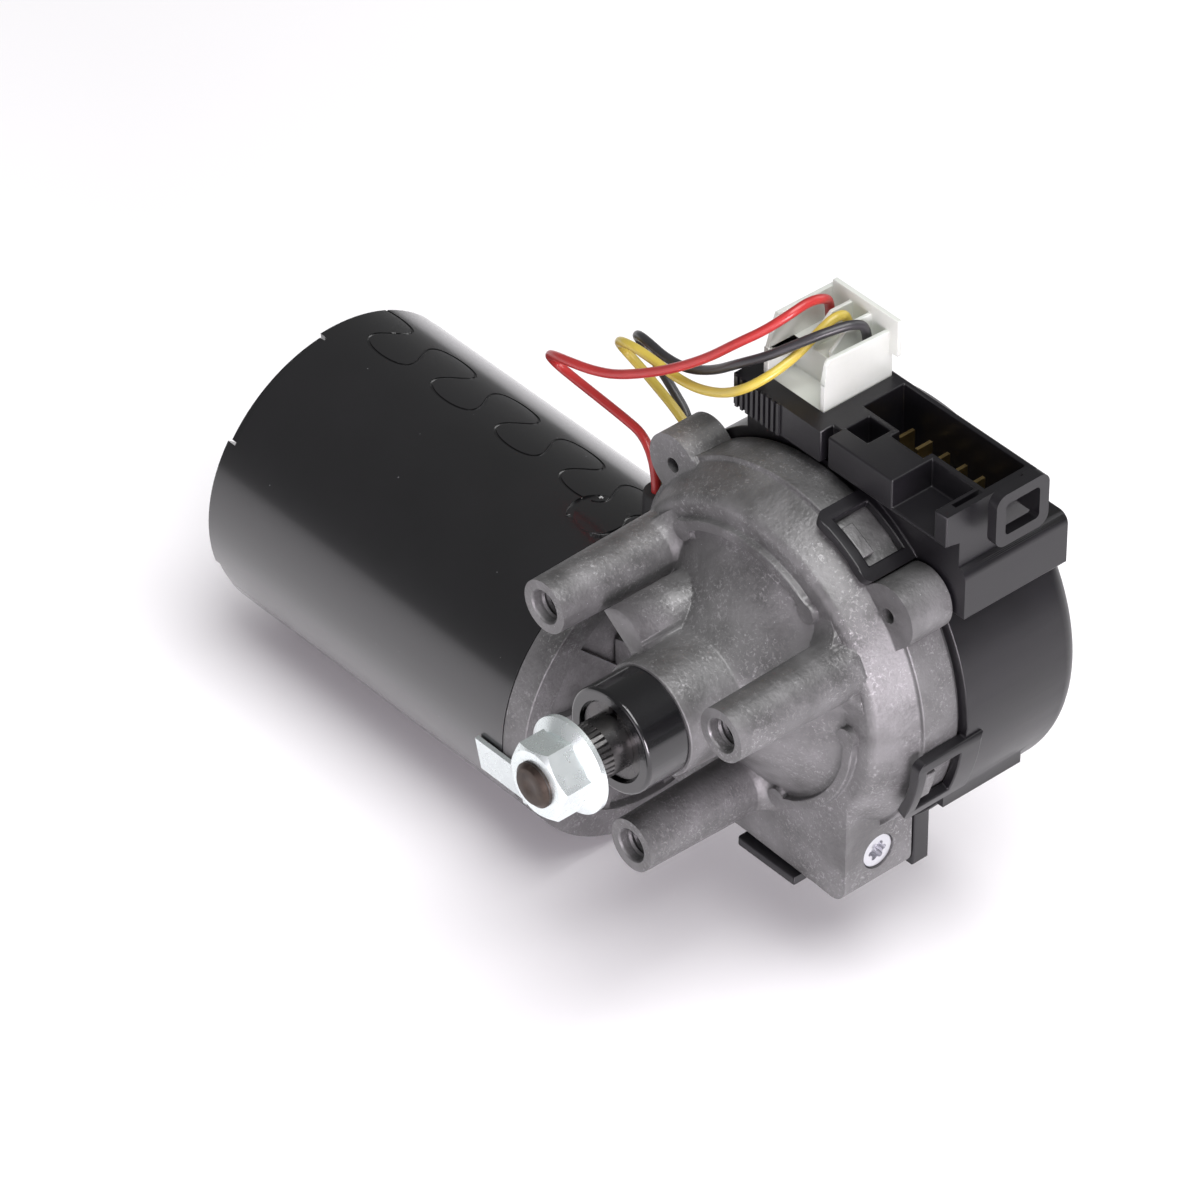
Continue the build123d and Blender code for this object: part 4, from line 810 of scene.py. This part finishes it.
@dataclass
class ThreadDress:
    """The shaft's oiled thread end and the threads shown as ridges in the boss holes."""

    thread_pitch: float = 1.25 * MM
    nut_end_y: float = -24.9 * MM
    end_profile: tuple[tuple[float, float], ...] = (
        (0.0, 0.0), (0.0, 4.94), (0.3, 4.94), (0.42, 4.7), (0.56, 4.94), (0.7, 4.7), (0.8, 4.6), (1.4, 4.0),
        (1.44, 3.9), (1.44, 1.7), (1.34, 1.4), (1.34, 0.0),
    )
    boss_circle_r: float = 30.0 * MM
    boss_angles: tuple[float, ...] = (30.0, 150.0, 270.0)
    bore_r: float = 3.4 * MM
    bore_start: float = 2.2 * MM
    bore_turns: int = 9
    bore_ridge: float = -0.3 * MM
    ridge_half_width: float = 0.44
    ridge_foot: float = 0.05
    thread_shade_angle: float = 20.0
    end_steps: int = 72
    steps_per_turn: int = 28

    def ridge(
        self, mesh: bmesh.types.BMesh, centre: Vector, axis: Vector, across: Vector, radius: float,
        height: float, turns: float,
    ) -> None:
        """Add one helical ridge.

        Args:
            mesh: The bmesh that receives it.
            centre: The start of the thread, on its axis.
            axis: The way the thread climbs.
            across: The direction of the ridge's first point.
            radius: The surface that the ridge stands on.
            height: How far it stands out, negative for a nut's thread.
            turns: How many turns it has.
        """
        half = self.thread_pitch * self.ridge_half_width
        foot = radius - self.ridge_foot * height
        profile = [(-half, foot), (0.0, radius + height), (half, foot)]
        ring_of_revolution(
            mesh, profile, centre, axis, across, int(self.steps_per_turn * turns), 360.0 * turns,
            rise=self.thread_pitch * turns,
        )

    def shaft_end(self) -> None:
        """Make the brown end of the shaft's thread, beyond the nut."""
        end = bmesh.new()
        profile = [(along * MM, out * MM) for along, out in self.end_profile]
        ring_of_revolution(
            end, profile, Vector((0, self.nut_end_y, 0)), Vector((0, -1, 0)), Vector((1, 0, 0)),
            self.end_steps, closed=False,
        )
        bmesh.ops.remove_doubles(end, verts=end.verts, dist=MERGE)
        bmesh.ops.recalc_face_normals(end, faces=end.faces)
        SHOP.ride(SHOP.piece("thread_end", end, THREAD_STEEL), Body.OUTPUT, "thread end beyond the nut")

    def build(self) -> None:
        """Make the thread end and the thread in the three boss holes."""
        self.shaft_end()
        holes = bmesh.new()
        for angle in self.boss_angles:
            turn = math.radians(angle)
            mouth = Vector(
                (self.boss_circle_r * math.cos(turn), self.bore_start, self.boss_circle_r * math.sin(turn))
            )
            self.ridge(
                holes, mouth, Vector((0, 1, 0)), Vector((1, 0, 0)), self.bore_r, self.bore_ridge,
                self.bore_turns,
            )
        bmesh.ops.holes_fill(holes, edges=holes.edges, sides=0)
        bmesh.ops.recalc_face_normals(holes, faces=holes.faces)
        threads = SHOP.piece("boss_threads", holes, CAST_ALUMINIUM, smooth=self.thread_shade_angle)
        SHOP.ride(threads, Body.FRAME, "cut threads in the bosses")


@dataclass
class Harness:
    """The three wires from the grommet to the plug."""

    radius: float = 1.0 * MM
    roundness: int = 6
    line_steps: int = 10
    routes: dict[str, list[tuple[float, float, float]]] = field(default_factory=dict)
    lengths: dict[str, float] = field(default_factory=dict)
    finishes: dict[str, Finish] = field(default_factory=dict)

    def wire(self, name: str) -> bpy.types.Object:
        """Make one wire on its smooth line.

        Args:
            name: The CAD node that the wire stands for.

        Returns:
            The wire, a bevelled NURBS curve.
        """
        curve = bpy.data.curves.new(f"{name}_lead", "CURVE")
        curve.dimensions = "3D"
        curve.bevel_depth = self.radius
        curve.bevel_resolution = self.roundness
        curve.resolution_u = self.line_steps
        curve.use_fill_caps = True
        route = self.routes[name]
        spline = curve.splines.new("NURBS")
        spline.points.add(len(route) - 1)
        for point, place in zip(spline.points, route):
            point.co = (*(value * MM for value in place), 1.0)
        spline.order_u = 3
        spline.use_endpoint_u = True
        lead = bpy.data.objects.new(f"{name}_lead", curve)
        bpy.context.scene.collection.objects.link(lead)
        curve.materials.append(SHOP.material(self.finishes[name]))
        return lead

    def build(self) -> None:
        for name, route in self.routes.items():
            lead = self.wire(name)
            SHOP.ride(lead, Body.FRAME, "wire to the plug", name)


RED_INSULATION = Finish(
    "red_insulation", (0.36, 0.022, 0.022), (0.46, 0.035, 0.034), roughness=(0.3, 0.4), drift_scale=140.0,
    grain_scale=1100.0, grain_height=0.00001, coat=0.2,
)
YELLOW_INSULATION = Finish(
    "yellow_insulation", (0.5, 0.38, 0.05), (0.6, 0.46, 0.09), roughness=(0.3, 0.4), drift_scale=140.0,
    grain_scale=1100.0, grain_height=0.00001, coat=0.2,
)
BLACK_INSULATION = Finish(
    "black_insulation", (0.022, 0.021, 0.024), (0.04, 0.038, 0.042), roughness=(0.34, 0.45),
    drift_scale=140.0, grain_scale=1100.0, grain_height=0.00001, coat=0.15,
)

RED_ROUTE = [
    (-41.6, 43.2, 12.0), (-41.6, 43.2, 17.5), (-47.3, 45.2, 21.8), (-55.0, 46.2, 21.5), (-64.0, 47.4, 20.7),
    (-73.5, 49.0, 19.4), (-78.2, 48.6, 20.4), (-78.0, 46.2, 24.2), (-73.0, 44.2, 27.4), (-67.6, 43.4, 29.4),
    (-61.2, 43.2, 31.3), (-54.1, 43.2, 34.2), (-45.0, 43.4, 39.8), (-37.0, 44.0, 45.4), (-29.0, 45.2, 51.9),
    (-22.0, 47.0, 58.9), (-17.3, 49.5, 63.2), (-14.3, 53.5, 66.9), (-14.0, 58.0, 67.9), (-13.7, 61.8, 67.2),
    (-15.0, 65.0, 64.0), (-15.0, 65.0, 58.0),
]
YELLOW_ROUTE = [
    (-41.2, 45.6, 12.0), (-41.2, 45.6, 17.5), (-40.0, 50.6, 24.7), (-44.5, 51.0, 27.0), (-50.1, 51.4, 28.8),
    (-55.8, 52.2, 29.9), (-60.6, 52.2, 31.6), (-60.8, 49.9, 35.4), (-57.0, 47.8, 38.6), (-52.0, 47.0, 40.2),
    (-46.2, 46.9, 40.3), (-39.2, 46.4, 40.5), (-31.1, 45.0, 43.0), (-22.4, 43.8, 47.6), (-15.9, 43.4, 52.8),
    (-13.1, 45.8, 55.6), (-11.9, 50.0, 57.5), (-11.4, 54.5, 59.6), (-10.5, 58.0, 62.9), (-9.9, 61.5, 65.0),
    (-9.6, 65.0, 64.0), (-9.6, 65.0, 58.0),
]
BLACK_ROUTE = [
    (-40.8, 48.0, 12.0), (-40.8, 48.0, 17.5), (-41.8, 53.2, 23.8), (-49.8, 54.4, 28.2), (-54.8, 55.6, 29.5),
    (-59.4, 56.2, 31.4), (-60.4, 54.4, 35.0), (-56.8, 52.2, 38.0), (-52.4, 51.0, 39.1), (-47.0, 50.2, 39.2),
    (-39.5, 49.6, 40.8), (-30.5, 48.4, 46.3), (-21.6, 46.8, 54.0), (-15.8, 48.2, 58.2), (-12.0, 51.0, 61.3),
    (-8.9, 54.2, 63.8), (-6.7, 58.0, 65.2), (-5.0, 61.8, 65.8), (-4.2, 65.0, 64.0), (-4.2, 65.0, 58.0),
]


@dataclass(frozen=True)
class Lamp:
    """One square soft lamp."""

    name: str
    place: Colour
    size: float
    power: float
    colour: Colour = (1.0, 1.0, 1.0)

    def hang(self, target: Vector) -> None:
        """Hang the lamp so that it faces the part.

        Args:
            target: The point that it faces.
        """
        data = bpy.data.lights.new(self.name, "AREA")
        data.shape = "SQUARE"
        data.size = self.size
        data.energy = self.power
        data.color = self.colour
        lamp = bpy.data.objects.new(self.name, data)
        place = Vector(self.place)
        aim = target - place
        lamp.matrix_world = Matrix.Translation(place) @ aim.to_track_quat("-Z", "Y").to_matrix().to_4x4()
        bpy.context.scene.collection.objects.link(lamp)


TABLE_TINT: Colour = (1.0, 0.92, 1.0)
LAMPS = (
    Lamp("key", (0.45, -0.1, 1.4), 1.1, 25.0),
    Lamp("fill", (0.72, -0.3, 0.02), 0.4, 9.0, TABLE_TINT),
    Lamp("rim", (0.1, 0.8, 0.5), 0.6, 2.4),
    Lamp("table_glow", (0.12, -0.6, 0.03), 0.5, 1.5, TABLE_TINT),
)


@dataclass
class Studio:
    """Floor, light and camera."""

    focal: float = 240.0
    sensor: float = 36.0
    azimuth: float = 48.76
    elevation: float = 39.28
    shift_right: float = 6.167 * MM
    shift_down: float = 25.351 * MM
    distance: float = 1564.3 * MM
    floor_size: float = 3.0
    floor_gap: float = 0.4 * MM
    clip_near: float = 0.05
    clip_far: float = 20.0
    lamp_target: Colour = (-0.04, 0.03, 0.0)
    world_strength: float = 0.18
    floor_colours: tuple[Colour, Colour] = ((0.95, 0.936, 0.955), (0.97, 0.956, 0.975))
    floor_roughness: float = 0.9
    floor_specular: float = 0.1
    floor_drift: float = 6.0

    def axes(self) -> tuple[Vector, Vector, Vector]:
        """The camera's own directions.

        Returns:
            Its right, up and back directions.
        """
        turn, tilt = math.radians(self.azimuth), math.radians(self.elevation)
        right = Vector((math.cos(turn), math.sin(turn), 0.0))
        ahead = Vector(
            (-math.sin(turn) * math.cos(tilt), math.cos(turn) * math.cos(tilt), -math.sin(tilt))
        )
        up = right.cross(ahead)
        return right, up, -ahead

    def camera(self) -> None:
        """Place the camera where the photograph was taken from."""
        right, up, back = self.axes()
        data = bpy.data.cameras.new("view")
        data.lens = self.focal
        data.sensor_width = self.sensor
        data.clip_start, data.clip_end = self.clip_near, self.clip_far
        eye = bpy.data.objects.new("view", data)
        place = back * self.distance - right * self.shift_right + up * self.shift_down
        turn = Matrix((right, up, back)).transposed().to_4x4()
        eye.matrix_world = Matrix.Translation(place) @ turn
        bpy.context.scene.collection.objects.link(eye)
        bpy.context.scene.camera = eye

    def world(self) -> None:
        """A plain pale surround that lights the part softly."""
        world = bpy.data.worlds.new("surround")
        bpy.context.scene.world = world
        world.use_nodes = True
        tree = world.node_tree
        light = tree.nodes["Background"]
        light.inputs["Color"].default_value = (1.0, 1.0, 1.0, 1.0)
        light.inputs["Strength"].default_value = self.world_strength
        seen = tree.nodes.new("ShaderNodeBackground")
        seen.inputs["Color"].default_value = (1.0, 1.0, 1.0, 1.0)
        seen.inputs["Strength"].default_value = 1.0
        path = tree.nodes.new("ShaderNodeLightPath")
        mix = tree.nodes.new("ShaderNodeMixShader")
        tree.links.new(path.outputs["Is Camera Ray"], mix.inputs["Fac"])
        tree.links.new(light.outputs[0], mix.inputs[1])
        tree.links.new(seen.outputs[0], mix.inputs[2])
        tree.links.new(mix.outputs[0], tree.nodes["World Output"].inputs["Surface"])

    def floor(self) -> None:
        """A pale floor just under the can."""
        low = cad_box[0].z - self.floor_gap
        mesh = bmesh.new()
        bmesh.ops.create_grid(
            mesh, x_segments=1, y_segments=1, size=self.floor_size / 2, matrix=Matrix.Translation((0, 0, low))
        )
        data = bpy.data.meshes.new("floor")
        mesh.to_mesh(data)
        mesh.free()
        floor = bpy.data.objects.new("floor", data)
        bpy.context.scene.collection.objects.link(floor)
        material = bpy.data.materials.new("pale_floor")
        material.use_nodes = True
        tree = material.node_tree
        shader = tree.nodes["Principled BSDF"]
        shader.inputs["Roughness"].default_value = self.floor_roughness
        shader.inputs["Specular IOR Level"].default_value = self.floor_specular
        drift = tree.nodes.new("ShaderNodeGroup")
        drift.node_tree = GROUPS.drift()
        drift.inputs["Scale"].default_value = self.floor_drift
        tone = tree.nodes.new("ShaderNodeMix")
        tone.data_type = "RGBA"
        for label, colour in zip("AB", self.floor_colours):
            tone.inputs[label].default_value = (*colour, 1.0)
        tree.links.new(drift.outputs["Mask"], tone.inputs["Factor"])
        tree.links.new(tone.outputs["Result"], shader.inputs["Base Color"])
        data.materials.append(material)

    def build(self) -> None:
        """Set up the whole studio."""
        bpy.context.scene.view_settings.view_transform = "Standard"
        self.world()
        self.floor()
        self.camera()
        for lamp in LAMPS:
            lamp.hang(Vector(self.lamp_target))
        log.info("studio ready")


def dress_frame() -> None:
    """Give every CAD node its finish."""
    for finish, nodes in NODE_FINISHES.items():
        for name in nodes:
            SHOP.dress(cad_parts[name], finish)
    log.info("%d CAD nodes dressed", sum(len(nodes) for nodes in NODE_FINISHES.values()))


def main() -> None:
    """Build the studio, dress the part and add its pieces."""
    Studio().build()
    dress_frame()
    CanDress().build()
    SoftenedPiece("gear_housing", "housing_casting", CAST_ALUMINIUM, 0.35 * MM).build()
    SoftenedPiece("gear_cover", "cover_moulding", COVER_PLASTIC, 0.4 * MM).build()
    SoftenedPiece("plug_housing", "plug_moulding", NATURAL_NYLON, 0.2 * MM).build()
    ThreadDress().build()
    Harness(
        routes={"wire_red": RED_ROUTE, "wire_yellow": YELLOW_ROUTE, "wire_black": BLACK_ROUTE},
        lengths={"wire_red": 145.4, "wire_yellow": 120.5, "wire_black": 116.5},
        finishes={
            "wire_red": RED_INSULATION, "wire_yellow": YELLOW_INSULATION, "wire_black": BLACK_INSULATION,
        },
    ).build()


if __name__ == "__main__":
    main()
